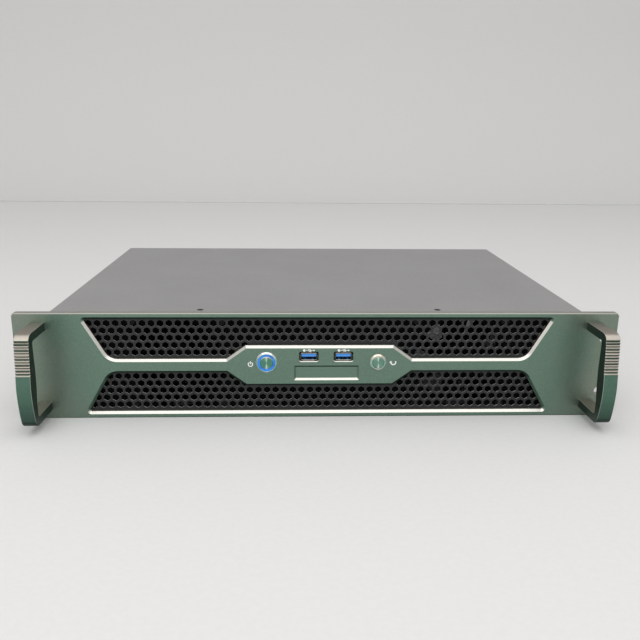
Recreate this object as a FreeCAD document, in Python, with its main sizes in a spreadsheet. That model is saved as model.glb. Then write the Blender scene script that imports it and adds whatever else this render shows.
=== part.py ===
"""Empty rackmount server case, two rack units high, as a parametric document.

Frame of the model: X runs to the right of someone facing the front, Y runs
from the front to the rear, Z points up.  The origin is the middle of the rack
bolt pattern, in the plane where the front panel meets the rack posts, so the
panel lies at negative Y and the steel body at positive Y.  Millimetres.
"""
import FreeCAD, Part
import Sketcher
import math
import os
import re

V = FreeCAD.Vector
ROT = FreeCAD.Rotation
doc = FreeCAD.newDocument("server_case")
sheet = doc.addObject("Spreadsheet::Sheet", "sizes")

# ---------------------------------------------------------------- driving sizes
SIZES = [
    # front panel, machined from plate
    ("ear_width", 26.3, "panel beyond the body on each side"),
    ("panel_height", 88.1, "two rack units less the working gap"),
    ("panel_thick", 6.0, "plate thickness"),
    ("panel_corner", 2.5, "outer corner radius"),
    ("panel_bevel", 0.6, "bright bevel round the front face"),
    ("rack_inset", 8.75, "rack holes in from the panel ends"),
    ("rack_pitch", 44.45, "hole to hole up the rack, one unit"),
    ("rack_slot_long", 10.0, "rack slot end to end"),
    ("rack_slot_wide", 6.8, "rack slot width"),
    # the two ventilation windows
    ("window_inset", 28.0, "window tips in from the body sides"),
    ("window_rail", 5.1, "strip left above and below the windows"),
    ("window_bevel", 1.9, "bevel round each window"),
    ("side_angle", 60.3, "slope of the window ends, degrees"),
    ("bar_half", 5.7, "half height of the bar between the windows"),
    ("island_half", 59.6, "half width of the control island"),
    ("island_high", 16.95, "half height of the control island"),
    ("island_angle", 36.0, "slope of the island ends, degrees"),
    ("blunt_corner", 11.0, "radius where a window end meets the bar"),
    ("sharp_corner", 1.2, "radius at the pointed window ends"),
    # perforated sheets
    ("mesh_thick", 1.2, "perforated sheet"),
    ("mesh_margin", 3.0, "sheet hidden behind the window edge"),
    ("mesh_gap", 0.15, "room round the sheet in its seat"),
    ("mesh_play", 0.05, "sheet below flush in the rear of the panel"),
    ("hex_flats", 5.2, "hexagonal hole across flats"),
    ("hex_pitch", 7.035, "hole to hole along a row"),
    ("hex_first", 4.4, "row nearest the bar, from the bar's edge"),
    ("hex_shift", -0.6, "side shift of the hole pattern"),
    # handles
    ("handle_inset", 1.0, "inner face of a handle outboard of the body"),
    ("handle_wide", 11.0, "handle width"),
    ("handle_rail", 7.15, "panel left above and below a handle"),
    ("handle_reach", 41.0, "front of the grip to the panel"),
    ("handle_arm", 7.0, "thickness of the arms"),
    ("handle_grip", 13.0, "thickness of the grip"),
    ("handle_lean", 4.5, "grip set back at the top against its belly"),
    ("rib_first", 3.7, "first grip groove below the top"),
    ("knuckle_round", 7.0, "outer corner radius of a handle"),
    ("belly_round", 9.0, "blend radius along the belly"),
    ("throat_round", 3.0, "inner corner radius of a handle"),
    ("palm_round", 14.0, "blend radius along the inner face"),
    ("handle_bevel", 0.6, "bevel along the handle's edges"),
    ("rib_pitch", 2.37, "grip groove spacing"),
    ("rib_count", 12.0, "grip grooves"),
    ("rib_deep", 0.9, "grip groove depth"),
    ("handle_screw", 4.0, "handle screw diameter"),
    ("handle_bite", 10.0, "handle screw length inside the handle"),
    ("handle_sink", 1.9, "countersink depth for the handle screws"),
    # steel body
    ("case_width", 430.0, "outside width of the cover"),
    ("case_depth", 300.0, "depth behind the mounting plane"),
    ("steel", 1.2, "sheet steel thickness"),
    ("cover_drop", 1.0, "cover below the top of the panel"),
    ("cover_gap", 0.3, "running gap round the cover"),
    ("skirt_high", 12.0, "cover skirt height"),
    ("lip", 10.0, "inward lip along the tray sides"),
    ("flange", 13.0, "flanges of the front and rear walls"),
    ("bend", 1.4, "outer bend radius"),
    ("cover_screw_x", 96.4, "front cover screws from the middle"),
    ("cover_screw_y", 9.2, "front cover screws behind the panel"),
    ("panel_screw_z", 30.0, "panel screws above and below the middle"),
    ("panel_screw_side", 6.2, "panel screws in from the tray side"),
    ("blind_deep", 3.5, "tapped holes in the rear of the panel"),
    ("screw_dia", 3.0, "small machine screw"),
    ("screw_gap", 0.1, "room round a small screw, radial"),
    ("hex_head", 5.5, "small hexagonal screw head across flats"),
    ("head_high", 1.8, "small screw head height"),
    ("thumb_x", 150.0, "thumb screws from the middle"),
    ("thumb_drop", 6.5, "thumb screws below the cover sheet"),
    ("thumb_rad", 4.5, "thumb screw head radius"),
    ("thumb_long", 8.0, "thumb screw head length"),
    # power switch and reset switch
    ("switch_z", 3.3, "height of both switches over the middle"),
    ("power_x", -42.9, "power switch position"),
    ("power_flange", 1.2, "power bezel beyond its barrel"),
    ("power_barrel", 7.6, "power switch barrel radius"),
    ("power_ring", 7.2, "lit ring outer radius"),
    ("power_cap", 5.15, "power button radius"),
    ("power_travel", 1.5, "power button travel"),
    ("reset_x", 47.2, "reset switch position"),
    ("reset_flange", 1.0, "reset bezel beyond its barrel"),
    ("reset_barrel", 5.9, "reset switch barrel radius"),
    ("reset_cap", 4.9, "reset button radius"),
    ("reset_travel", 1.2, "reset button travel"),
    ("bezel_proud", 2.0, "bezels stand out of the panel"),
    ("bezel_slope", 1.2, "height and width of a bezel's sloped rim"),
    ("cap_long", 4.0, "button height"),
    ("boss_long", 1.2, "narrower inner end of a button"),
    ("end_gap", 0.6, "room behind a pushed button"),
    ("barrel_long", 24.0, "switch barrels behind the panel face"),
    ("cap_gap", 0.08, "radial running gap round a button"),
    ("nut_thick", 2.0, "switch nuts"),
    # front data ports
    ("port_left_x", -8.8, "left port"),
    ("port_right_x", 19.1, "right port"),
    ("port_z", 7.9, "height of the ports over the middle"),
    ("port_side_gap", 1.0, "port cut-out beside the shell"),
    ("port_top_gap", 0.9, "port cut-out above and below the shell"),
    ("port_corner", 1.5, "port cut-out corner radius"),
    ("port_w", 13.3, "port shell width"),
    ("port_h", 6.0, "port shell height"),
    ("port_wall", 0.4, "port shell sheet"),
    ("port_deep", 16.0, "port shell depth"),
    ("port_back", 0.4, "port shells behind the panel face"),
    ("board_side", 5.0, "port card beyond the shells"),
    ("board_screw", 3.2, "card screws in from its sides"),
    ("board_screw_y", 17.0, "card screws behind the panel"),
    ("board_thick", 1.6, "port card thickness"),
    ("bracket_screw_z", 7.0, "bracket screws below the middle"),
    ("tongue_h", 2.4, "port tongue thickness"),
    ("tongue_side", 0.2, "room beside a port tongue"),
    # badge recess
    ("badge_x", 5.6, "middle of the recess"),
    ("badge_z", -5.9, "middle of the recess"),
    ("badge_w", 52.5, "recess width"),
    ("badge_h", 12.5, "recess height"),
    ("badge_deep", 1.5, "recess depth, with 45 degree walls"),
    ("badge_corner", 1.0, "recess corner radius"),
    # fans
    ("bay_low", 13.5, "opening behind the controls, below the middle"),
    ("bay_high", 14.5, "opening behind the controls, above the middle"),
    ("fan_x", 115.0, "fan centres from the middle"),
    ("fan_size", 80.0, "square fan frame"),
    ("fan_thick", 25.0, "fan thickness"),
    ("fan_head", 3.3, "fan screw head radius, flush with the wall"),
    ("fan_screw", 2.1, "fan screw shank radius"),
    ("fan_edge", 4.25, "fan holes in from the frame edges"),
    ("fan_rim", 2.0, "frame wall at the duct"),
    ("fan_hub", 17.0, "fan hub radius"),
    ("fan_clear", 0.9, "blade tip clearance"),
    ("fan_seat", 0.3, "rotor to the hub plate"),
    # rear wall
    ("psu_wide", 81.5, "flex power unit width"),
    ("psu_high", 40.5, "flex power unit height"),
    ("psu_side", 0.8, "power unit to the tray side"),
    ("io_wide", 158.75, "input-output opening width"),
    ("io_high", 44.45, "input-output opening height"),
    ("io_sill", 5.2, "opening above the tray floor"),
    ("board_gap", 5.0, "board edge to the power unit bay"),
    ("board_wide", 305.0, "main board width"),
    ("board_rear", 2.1, "board edge to the rear wall"),
    ("stud_high", 6.35, "stand-off height"),
    ("stud_flats", 5.0, "stand-off across flats"),
    ("slot_pitch", 20.32, "expansion slot spacing"),
    ("slot_count", 7.0, "expansion slots"),
    ("slot_wide", 12.7, "expansion slot opening width"),
    ("slot_high", 66.0, "expansion slot opening height"),
    ("blank_wide", 18.4, "slot blank width"),
    ("blank_thick", 0.9, "slot blank sheet"),
    ("vent_wide", 5.0, "vent slit width"),
    ("vent_pitch", 12.0, "vent slit spacing"),
    # drive bracket
    ("drive_x_span", 61.72, "small drive hole spacing across"),
    ("drive_y_span", 76.6, "small drive hole spacing along"),
    ("bracket_high", 14.0, "drive bracket height"),
    ("bracket_wide", 76.0, "drive bracket deck width"),
    ("bracket_long", 100.0, "drive bracket length"),
    ("bracket_y", 38.0, "drive bracket front edge"),
]
NAMES = set()
for row, (alias, amount, note) in enumerate(SIZES, 1):
    sheet.set("A%d" % row, alias)
    sheet.set("B%d" % row, repr(amount))
    sheet.setAlias("B%d" % row, alias)
    sheet.set("C%d" % row, note)
    NAMES.add(alias)
doc.recompute()


def size(alias):
    """Value of one named size."""
    return float(getattr(sheet, alias))


gauge = doc.addObject("App::FeaturePython", "gauge")
gauge.addProperty("App::PropertyFloat", "Reading")


def value(text):
    """Value of an expression in the named sizes, read off the gauge object."""
    gauge.setExpression("Reading", full(text))
    gauge.recompute()
    return gauge.Reading


# combined positions that several pieces share, written with the named sizes
FLOOR = "(-panel_height / 2)"
COVER_TOP = "(panel_height / 2 - cover_drop)"
COVER_UNDER = "(panel_height / 2 - cover_drop - steel)"
TRAY_HALF = "(case_width / 2 - steel - cover_gap)"
TRAY_IN = "(case_width / 2 - 2 * steel - cover_gap)"
TRAY_END = "(case_depth - steel - cover_gap)"
HANDLE_IN = "(case_width / 2 + handle_inset)"
PSU_IN = "(case_width / 2 - 2 * steel - cover_gap - psu_side - psu_wide)"
BOARD_IO = "(%s - board_gap)" % PSU_IN
BOARD_REAR = "(case_depth - 2 * steel - cover_gap - board_rear)"
SEAT = "(mesh_thick + mesh_play)"
PANEL_HALF = "(case_width / 2 + ear_width)"
WINDOW_HALF = "(case_width / 2 - window_inset)"
HANDLE_TOP = "(panel_height / 2 - handle_rail)"
PORT_CUT_W = "(port_w + 2 * port_side_gap)"
PORT_CUT_H = "(port_h + 2 * port_top_gap)"
FAN_BORE = "(fan_size / 2 - fan_rim)"
FAN_SPOT = "(fan_size / 2 - fan_edge)"
PANEL_SCREW_X = "(%s - panel_screw_side)" % TRAY_IN
BOARD_X = ("(port_left_x - port_w / 2 - board_side)", "(port_right_x + port_w / 2 + board_side)")
PORT_SCREW_X = (BOARD_X[0] + " + board_screw", BOARD_X[1] + " - board_screw")
BRACKET_SCREW_Z = "(-bracket_screw_z)"
WORD = re.compile(r"[a-z][a-z0-9_]*")


def full(text):
    """Expression text with every size name pointed at the sheet."""
    def swap(hit):
        word = hit.group(0)
        return "sizes." + word if word in NAMES else word
    return WORD.sub(swap, text)


def bind(obj, prop, text):
    """Tie one property to an expression in the named sizes."""
    obj.setExpression(prop, full(text))


# ------------------------------------------------------------------ primitives
def box(name, x, y, z):
    """Part::Box between pairs of expressions (low, high) on each axis."""
    item = doc.addObject("Part::Box", name)
    for prop, axis, pair in (("Length", "x", x), ("Width", "y", y), ("Height", "z", z)):
        bind(item, prop, "(%s) - (%s)" % (pair[1], pair[0]))
        bind(item, "Placement.Base." + axis, pair[0])
    return item


TURN = {"x": ROT(V(0, 1, 0), 90), "y": ROT(V(1, 0, 0), -90), "z": ROT()}


def rod(name, axis, foot, radius, length, top_radius=None):
    """Cylinder, or cone when top_radius is given, from foot along +axis."""
    kind = "Part::Cylinder" if top_radius is None else "Part::Cone"
    item = doc.addObject(kind, name)
    item.Placement = FreeCAD.Placement(V(0, 0, 0), TURN[axis])
    bind(item, "Height", length)
    if top_radius is None:
        bind(item, "Radius", radius)
    else:
        bind(item, "Radius1", radius)
        bind(item, "Radius2", top_radius)
    for letter, text in zip("xyz", foot):
        bind(item, "Placement.Base." + letter, text)
    return item


def hexbar(name, axis, foot, flats, length):
    """Six-sided prism across flats, from foot along +axis."""
    item = doc.addObject("Part::Prism", name)
    item.Polygon = 6
    item.Placement = FreeCAD.Placement(V(0, 0, 0), TURN[axis])
    bind(item, "Circumradius", "(%s) / sqrt(3)" % flats)
    bind(item, "Height", length)
    for letter, text in zip("xyz", foot):
        bind(item, "Placement.Base." + letter, text)
    return item


def hexrod(name, axis, foot, radius, length):
    """Six-sided shank or hole whose corners lie on radius, from foot along +axis."""
    return hexbar(name, axis, foot, "(%s) * sqrt(3)" % radius, length)


def fuse(name, items):
    """Union of several objects, coplanar faces merged."""
    item = doc.addObject("Part::MultiFuse", name)
    item.Shapes = items
    item.Refine = True
    return item


def group(name, items):
    """Separate solids kept together as one sub-part."""
    item = doc.addObject("Part::Compound", name)
    item.Links = items
    return item


def cut(name, base, tools):
    """Base less one tool or several."""
    item = doc.addObject("Part::Cut", name)
    item.Base = base
    item.Tool = tools[0] if len(tools) == 1 else group(name + "_tools", tools)
    item.Refine = True
    return item


# -------------------------------------------------------- bodies and sketches
def plane(body, role):
    """One of the body's own origin planes."""
    for feature in body.Origin.OriginFeatures:
        if feature.Role == role:
            return feature
    raise ValueError(role)


def sketch_on(body, name, role, lift=None):
    """Sketch on an origin plane of the body, moved along its normal by lift."""
    sketch = body.newObject("Sketcher::SketchObject", name)
    sketch.AttachmentSupport = [(plane(body, role), "")]
    sketch.MapMode = "FlatFace"
    if lift is not None:
        bind(sketch, "AttachmentOffset.Base.z", lift)
    return sketch


def loop(sketch, points):
    """Closed polygon; each corner's two coordinates are driven by expressions."""
    count = len(points)
    first = sketch.GeometryCount
    ring = []
    for k in range(count):
        turn = 2 * math.pi * k / count
        ring.append(V(40 * math.cos(turn), 40 * math.sin(turn), 0))
    for k in range(count):
        sketch.addGeometry(Part.LineSegment(ring[k], ring[(k + 1) % count]), False)
    for k in range(count):
        after = first + (k + 1) % count
        sketch.addConstraint(Sketcher.Constraint("Coincident", first + k, 2, after, 1))
    for k, (across, upward) in enumerate(points):
        for kind, text, start in (("DistanceX", across, ring[k].x), ("DistanceY", upward, ring[k].y)):
            index = sketch.addConstraint(
                Sketcher.Constraint(kind, -1, 1, first + k, 1, start))
            bind(sketch, "Constraints[%d]" % index, text)


def disc(sketch, across, upward, radius):
    """Circle whose centre and radius are driven by expressions."""
    index = sketch.addGeometry(Part.Circle(V(3, 3, 0), V(0, 0, 1), 5), False)
    for kind, text in (("DistanceX", across), ("DistanceY", upward)):
        number = sketch.addConstraint(Sketcher.Constraint(kind, -1, 1, index, 3, 3))
        bind(sketch, "Constraints[%d]" % number, text)
    number = sketch.addConstraint(Sketcher.Constraint("Radius", index, 5))
    bind(sketch, "Constraints[%d]" % number, radius)


def hexhole(sketch, across, upward, radius):
    """Six-sided stand-in for a small hidden tapped hole, with the same corner radius."""
    corners_ = []
    for k in range(6):
        turn = math.radians(60 * k)
        corners_.append(("%s + %.6f * (%s)" % (across, math.cos(turn), radius),
                         "%s + %.6f * (%s)" % (upward, math.sin(turn), radius)))
    loop(sketch, corners_)


def pad(body, name, sketch, length, back=False):
    """Extrusion of a sketch."""
    item = body.newObject("PartDesign::Pad", name)
    item.Profile = sketch
    bind(item, "Length", length)
    item.Reversed = back
    return item


def pocket(body, name, sketch, length, back=False):
    """Cut of a sketch; the solid must lose volume, or the side is wrong."""
    before = body.Tip.Shape.Volume
    item = body.newObject("PartDesign::Pocket", name)
    item.Profile = sketch
    bind(item, "Length", length)
    item.Reversed = back
    doc.recompute()
    if item.Shape.Volume > before - 1e-6:
        raise ValueError(name + " cuts nothing")
    return item


def edges_of(feature, test):
    """Names of the edges of a feature that pass a test."""
    doc.recompute()
    names = []
    for number, edge in enumerate(feature.Shape.Edges, 1):
        if test(edge):
            names.append("Edge%d" % number)
    if not names:
        raise ValueError(feature.Name + ": no edges found")
    return names


def dress(body, kind, name, feature, names, prop, text):
    """Fillet or chamfer on named edges of the last feature."""
    item = body.newObject(kind, name)
    item.Base = (feature, names)
    bind(item, prop, text)
    doc.recompute()
    return item


def along(edge, axis):
    """True for a straight edge that runs along axis."""
    if edge.Curve.TypeId != "Part::GeomLine":
        return False
    run = edge.Vertexes[-1].Point - edge.Vertexes[0].Point
    return abs(abs(run.dot(axis)) - run.Length) < 1e-6


def near(edge, x, z, reach=0.2):
    """True when an edge's middle is at x and z."""
    mid = edge.CenterOfMass
    return abs(mid.x - x) < reach and abs(mid.z - z) < reach


parts = {}


def keep(node, obj):
    """Register a sub-part under its node name."""
    obj.Label = node
    parts[node] = obj
    return obj


# ----------------------------------------------------------------- front panel
def window_outline(grow):
    """Corners of the upper window, moved outward by the expression grow."""
    rise = "(panel_height / 2 - window_rail)"
    top_x = "(%s + (%s) / tan(side_angle / 2))" % (WINDOW_HALF, grow)
    bar_x = "(%s - (%s - bar_half) / tan(side_angle)" % (WINDOW_HALF, rise)
    bar_x += " + (%s) * tan(side_angle / 2))" % grow
    slope_x = "(island_half + (island_high - bar_half) / tan(island_angle)"
    slope_x += " - (%s) * tan(island_angle / 2))" % grow
    isle_x = "(island_half - (%s) * tan(island_angle / 2))" % grow
    top_z = "(%s + (%s))" % (rise, grow)
    bar_z = "(bar_half - (%s))" % grow
    isle_z = "(island_high - (%s))" % grow
    right = [(isle_x, isle_z), (slope_x, bar_z), (bar_x, bar_z), (top_x, top_z)]
    left = [("-" + x, z) for x, z in reversed(right)]
    return right + left


panel = doc.addObject("PartDesign::Body", "front_panel")
outline = sketch_on(panel, "panel_outline", "XZ_Plane")
half_w = PANEL_HALF
half_h = "(panel_height / 2)"
loop(outline, [("-" + half_w, "-" + half_h), (half_w, "-" + half_h), (half_w, half_h), ("-" + half_w, half_h)])
plate = pad(panel, "panel_plate", outline, "panel_thick")
corners = edges_of(plate, lambda e: along(e, V(0, 1, 0)))
dress(panel, "PartDesign::Fillet", "panel_corners", plate, corners, "Radius", "panel_corner")

opening = sketch_on(panel, "window_shape", "XZ_Plane")
loop(opening, window_outline("0"))
window = pocket(panel, "window_upper", opening, "panel_thick", back=True)
twin = panel.newObject("PartDesign::Mirrored", "window_lower")
twin.Originals = [window]
twin.MirrorPlane = (plane(panel, "XY_Plane"), [""])
panel.Tip = twin
doc.recompute()

rise = value("panel_height / 2 - window_rail")
tip_x = value(WINDOW_HALF)
blunt_x = tip_x - (rise - size("bar_half")) / math.tan(math.radians(size("side_angle")))
blunt = edges_of(twin, lambda e: along(e, V(0, 1, 0)) and any(
    near(e, sx * blunt_x, sz * size("bar_half")) for sx in (-1, 1) for sz in (-1, 1)))
eased = dress(panel, "PartDesign::Fillet", "window_blunt", twin, blunt, "Radius", "blunt_corner")
tips = edges_of(eased, lambda e: along(e, V(0, 1, 0)) and any(
    near(e, sx * tip_x, sz * rise) for sx in (-1, 1) for sz in (-1, 1)))
tipped = dress(panel, "PartDesign::Fillet", "window_tips", eased, tips, "Radius", "sharp_corner")

FRONT = -size("panel_thick")


def at_front(edge):
    """True for an edge that lies in the panel's front face."""
    box_ = edge.BoundBox
    return abs(box_.YMin - FRONT) < 1e-6 and abs(box_.YMax - FRONT) < 1e-6


def in_window(edge):
    """True for a front edge that belongs to a window."""
    box_ = edge.BoundBox
    lim = rise + 0.01
    return at_front(edge) and box_.ZMax < lim and box_.ZMin > -lim


bevel = dress(panel, "PartDesign::Chamfer", "window_bevels", tipped,
              edges_of(tipped, in_window), "Size", "window_bevel")


def on_rim(edge):
    """True for a front edge on the outline of the plate."""
    box_ = edge.BoundBox
    high = max(abs(box_.ZMax), abs(box_.ZMin)) > value("panel_height / 2 - panel_corner") - 0.01
    wide = max(abs(box_.XMax), abs(box_.XMin)) > value(PANEL_HALF + " - panel_corner") - 0.01
    return at_front(edge) and (high or wide)


rim = dress(panel, "PartDesign::Chamfer", "panel_bevels", bevel,
            edges_of(bevel, on_rim), "Size", "panel_bevel")

seat = sketch_on(panel, "mesh_seat_shape", "XZ_Plane")
loop(seat, window_outline("mesh_margin"))
loop(seat, [(x, "-" + z) for x, z in window_outline("mesh_margin")])
pocket(panel, "mesh_seats", seat, SEAT, back=True)

holes = sketch_on(panel, "hole_shapes", "XZ_Plane")
disc(holes, "power_x", "switch_z", "power_barrel + 0.15")
disc(holes, "reset_x", "switch_z", "reset_barrel + 0.15")
for px in ("port_left_x", "port_right_x"):
    lo, hi = px + " - %s / 2" % PORT_CUT_W, px + " + %s / 2" % PORT_CUT_W
    low, top = "port_z - %s / 2" % PORT_CUT_H, "port_z + %s / 2" % PORT_CUT_H
    loop(holes, [(lo, low), (hi, low), (hi, top), (lo, top)])
drilled = pocket(panel, "switch_and_port_holes", holes, "panel_thick", back=True)
cut_x, cut_z = value(PORT_CUT_W) / 2, value(PORT_CUT_H) / 2
port_edges = edges_of(drilled, lambda e: along(e, V(0, 1, 0)) and any(
    near(e, size(px) + sx * cut_x, size("port_z") + sz * cut_z)
    for px in ("port_left_x", "port_right_x") for sx in (-1, 1) for sz in (-1, 1)))
port_round = dress(panel, "PartDesign::Fillet", "port_corners", drilled, port_edges, "Radius", "port_corner")


def port_rim(edge):
    """True for a front edge round a port cut-out."""
    mid = edge.CenterOfMass
    for px in ("port_left_x", "port_right_x"):
        if abs(mid.x - size(px)) < cut_x + 0.1 and abs(mid.z - size("port_z")) < cut_z + 0.1:
            return at_front(edge)
    return False


dress(panel, "PartDesign::Chamfer", "port_bevels", port_round,
      edges_of(port_round, port_rim), "Size", "0.5")

racks = sketch_on(panel, "rack_slot_shapes", "XZ_Plane")
half_run = (size("rack_slot_long") - size("rack_slot_wide")) / 2
half_wide = size("rack_slot_wide") / 2
for sx in (1, -1):
    for sz in (1, -1):
        mid = V(sx * value(PANEL_HALF + " - rack_inset"), sz * size("rack_pitch") / 2, 0)
        ends = [mid + V(half_run, 0, 0), mid - V(half_run, 0, 0)]
        arcs = []
        for centre, turn in zip(ends, (-math.pi / 2, math.pi / 2)):
            circle = Part.Circle(centre, V(0, 0, 1), half_wide)
            arcs.append(racks.addGeometry(Part.ArcOfCircle(circle, turn, turn + math.pi), False))
        lines = []
        for side in (1, -1):
            lift = V(0, side * half_wide, 0)
            lines.append(racks.addGeometry(Part.LineSegment(ends[0] + lift, ends[1] + lift), False))
        right, left = arcs
        top, low = lines
        joints = ((top, 1, right, 2), (top, 2, left, 1), (low, 1, right, 1), (low, 2, left, 2))
        for one, end, two, start in joints:
            racks.addConstraint(Sketcher.Constraint("Tangent", one, end, two, start))
        sign = "" if sx > 0 else "-"
        rise_text = ("" if sz > 0 else "-") + "rack_pitch / 2"
        run = "(rack_slot_long - rack_slot_wide) / 2"
        span = "%s(%s - rack_inset)" % (sign, PANEL_HALF)
        wanted = (("DistanceX", right, span + " + " + run, ends[0].x),
                  ("DistanceX", left, span + " - " + run, ends[1].x),
                  ("DistanceY", right, rise_text, mid.y),
                  ("DistanceY", left, rise_text, mid.y))
        for kind, arc, text, begin in wanted:
            number = racks.addConstraint(Sketcher.Constraint(kind, -1, 1, arc, 3, begin))
            bind(racks, "Constraints[%d]" % number, text)
        number = racks.addConstraint(Sketcher.Constraint("Radius", right, half_wide))
        bind(racks, "Constraints[%d]" % number, "rack_slot_wide / 2")
pocket(panel, "rack_slots", racks, "panel_thick", back=True)

recess = sketch_on(panel, "badge_shape", "XZ_Plane", "panel_thick - badge_deep")
bx, bz = "(badge_w / 2 - badge_deep)", "(badge_h / 2 - badge_deep)"
loop(recess, [("badge_x - " + bx, "badge_z - " + bz), ("badge_x + " + bx, "badge_z - " + bz),
              ("badge_x + " + bx, "badge_z + " + bz), ("badge_x - " + bx, "badge_z + " + bz)])
sunk = panel.newObject("PartDesign::Pocket", "badge_recess")
sunk.Profile = recess
bind(sunk, "Length", "badge_deep")
sunk.Reversed = True
sunk.TaperAngle = 45
corner_x, corner_z = size("badge_w") / 2, size("badge_h") / 2


def badge_corner(edge):
    """True for the sloping edge in a corner of the recess."""
    mid = edge.CenterOfMass
    dx, dz = abs(mid.x - size("badge_x")), abs(mid.z - size("badge_z"))
    lean = size("badge_deep") / 2
    return abs(dx - corner_x + lean) < 0.1 and abs(dz - corner_z + lean) < 0.1


dress(panel, "PartDesign::Fillet", "badge_corners", sunk,
      edges_of(sunk, badge_corner), "Radius", "badge_corner")

# screw holes from the rear: handles, front wall, port bracket
screws = sketch_on(panel, "rear_hole_shapes", "XZ_Plane")
handle_x = HANDLE_IN + " + handle_wide / 2"
arm_z = "%s - handle_arm / 2" % HANDLE_TOP
for sx in ("", "-"):
    for sz in ("", "-"):
        disc(screws, "%s(%s)" % (sx, handle_x), "%s(%s)" % (sz, arm_z), "handle_screw / 2 + screw_gap")
through = pocket(panel, "handle_screw_holes", screws, "panel_thick", back=True)


def screw_mouth(edge):
    """True for a handle screw hole's edge in the rear face."""
    mid = edge.CenterOfMass
    spot = abs(abs(mid.x) - value(handle_x)) < 0.1 and abs(abs(mid.z) - value(arm_z)) < 0.1
    return spot and abs(edge.BoundBox.YMax) < 1e-6 and edge.BoundBox.YLength < 1e-6


dress(panel, "PartDesign::Chamfer", "handle_screw_sinks", through,
      edges_of(through, screw_mouth), "Size", "handle_sink")
tapped = sketch_on(panel, "blind_hole_shapes", "XZ_Plane")
for sx in ("", "-"):
    for sz in ("", "-"):
        hexhole(tapped, sx + PANEL_SCREW_X, sz + "panel_screw_z", "screw_dia / 2 + 0.03")
for x in PORT_SCREW_X:
    hexhole(tapped, x, BRACKET_SCREW_Z, "screw_dia / 2 + 0.03")
blind = pocket(panel, "blind_holes", tapped, "blind_deep", back=True)
keep("front_panel", panel)


# ------------------------------------------------------------ perforated sheets
def outline_points(grow, sign):
    """Window outline in numbers, moved outward by grow; sign -1 is the lower one."""
    half = math.radians(size("side_angle")) / 2
    tilt = math.radians(size("island_angle"))
    bar = size("bar_half")
    isle = size("island_half") - grow * math.tan(tilt / 2)
    slope = size("island_half") + (size("island_high") - bar) / math.tan(tilt) - grow * math.tan(tilt / 2)
    right = [(isle, size("island_high") - grow), (slope, bar - grow),
             (blunt_x + grow * math.tan(half), bar - grow),
             (tip_x + grow / math.tan(half), rise + grow)]
    points = right + [(-x, z) for x, z in reversed(right)]
    return [V(x, 0, sign * z) for x, z in points]


def face_of(points):
    """Flat face inside a closed polygon."""
    return Part.Face(Part.makePolygon(points + points[:1]))


def hexagon(x, z, radius):
    """Hexagon standing on a point."""
    corners_ = []
    for k in range(6):
        turn = math.radians(60 * k + 30)
        corners_.append(V(x + radius * math.cos(turn), 0, z + radius * math.sin(turn)))
    return corners_


def perforated(sign):
    """Sheet with staggered hexagonal holes wherever the window shows it."""
    sheet_face = face_of(outline_points(size("mesh_margin") - size("mesh_gap"), sign))
    seen = face_of(outline_points(0.4, sign))
    radius = size("hex_flats") / math.sqrt(3)
    pitch = size("hex_pitch")
    step = pitch * math.sqrt(3) / 2
    lowest = size("bar_half") + size("hex_first")
    reach_ = int(tip_x / pitch) + 2
    cutters = []
    for line in range(int((rise - lowest) / step) + 1):
        shift = size("hex_shift") + (line % 2) * pitch / 2
        for k in range(-reach_, reach_ + 1):
            corners_ = hexagon(k * pitch + shift, sign * (lowest + line * step), radius)
            shown = any(seen.isInside(c, 1e-6, True) for c in corners_)
            if shown and all(sheet_face.isInside(c, 1e-6, False) for c in corners_):
                cutters.append(face_of(corners_))
    holed = sheet_face.cut(Part.makeCompound(cutters)).Faces[0]
    return holed.extrude(V(0, size("mesh_thick"), 0)), len(cutters)


for node, sign in (("upper_mesh", 1), ("lower_mesh", -1)):
    item = doc.addObject("Part::Feature", node)
    solid, count = perforated(sign)
    item.Shape = solid if solid.ShapeType == "Solid" else solid.Solids[0]
    bind(item, "Placement.Base.y", "-" + SEAT)
    print(node, count, "holes")
    keep(node, item)


# --------------------------------------------------------------------- handles
GRIP_FACE = "(-panel_thick - handle_reach)"
GRIP_BACK = "(-panel_thick - handle_reach + handle_grip)"
RIB_ZONE = "(rib_first + rib_count * rib_pitch + 0.9)"


def belly_z(share):
    """Height of a point on the belly, as a share of the way from the grooves to the heel."""
    return "(%s - %s - %.3f * (2 * %s - %s))" % (HANDLE_TOP, RIB_ZONE, share, HANDLE_TOP, RIB_ZONE)


def palm_z(share):
    """Height of a point on the inner face, as a share of the way from the lower arm up."""
    return "(-%s + handle_arm + %.3f * 2 * (%s - handle_arm))" % (HANDLE_TOP, share, HANDLE_TOP)


# side view of a handle: straight arms, a ribbed upper grip, a belly and a heel
KNUCKLE = (GRIP_FACE + " + handle_lean", HANDLE_TOP)
RIB_FOOT = (GRIP_FACE + " + 1.1", "(%s - %s)" % (HANDLE_TOP, RIB_ZONE))
BELLY = [(GRIP_FACE, belly_z(0.2)),
         (GRIP_FACE + " + 0.6", belly_z(0.46)),
         (GRIP_FACE + " + 2.1", belly_z(0.69))]
HEEL = (GRIP_FACE + " + 5.2", "(-%s)" % HANDLE_TOP)
THROAT = [(GRIP_BACK + " - 2.6", palm_z(0)), (GRIP_BACK + " - 0.6", palm_z(1))]
PALM = [(GRIP_BACK + " - 2.4", palm_z(0.2)),
        (GRIP_BACK + " - 0.6", palm_z(0.38)),
        (GRIP_BACK + " + 0.2", palm_z(0.615))]
GRIP = [("-panel_thick", HANDLE_TOP), KNUCKLE, RIB_FOOT] + BELLY + [
    HEEL, ("-panel_thick", HEEL[1]), ("-panel_thick", palm_z(0)), THROAT[0]] + PALM + [
    THROAT[1], ("-panel_thick", palm_z(1))]


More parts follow.
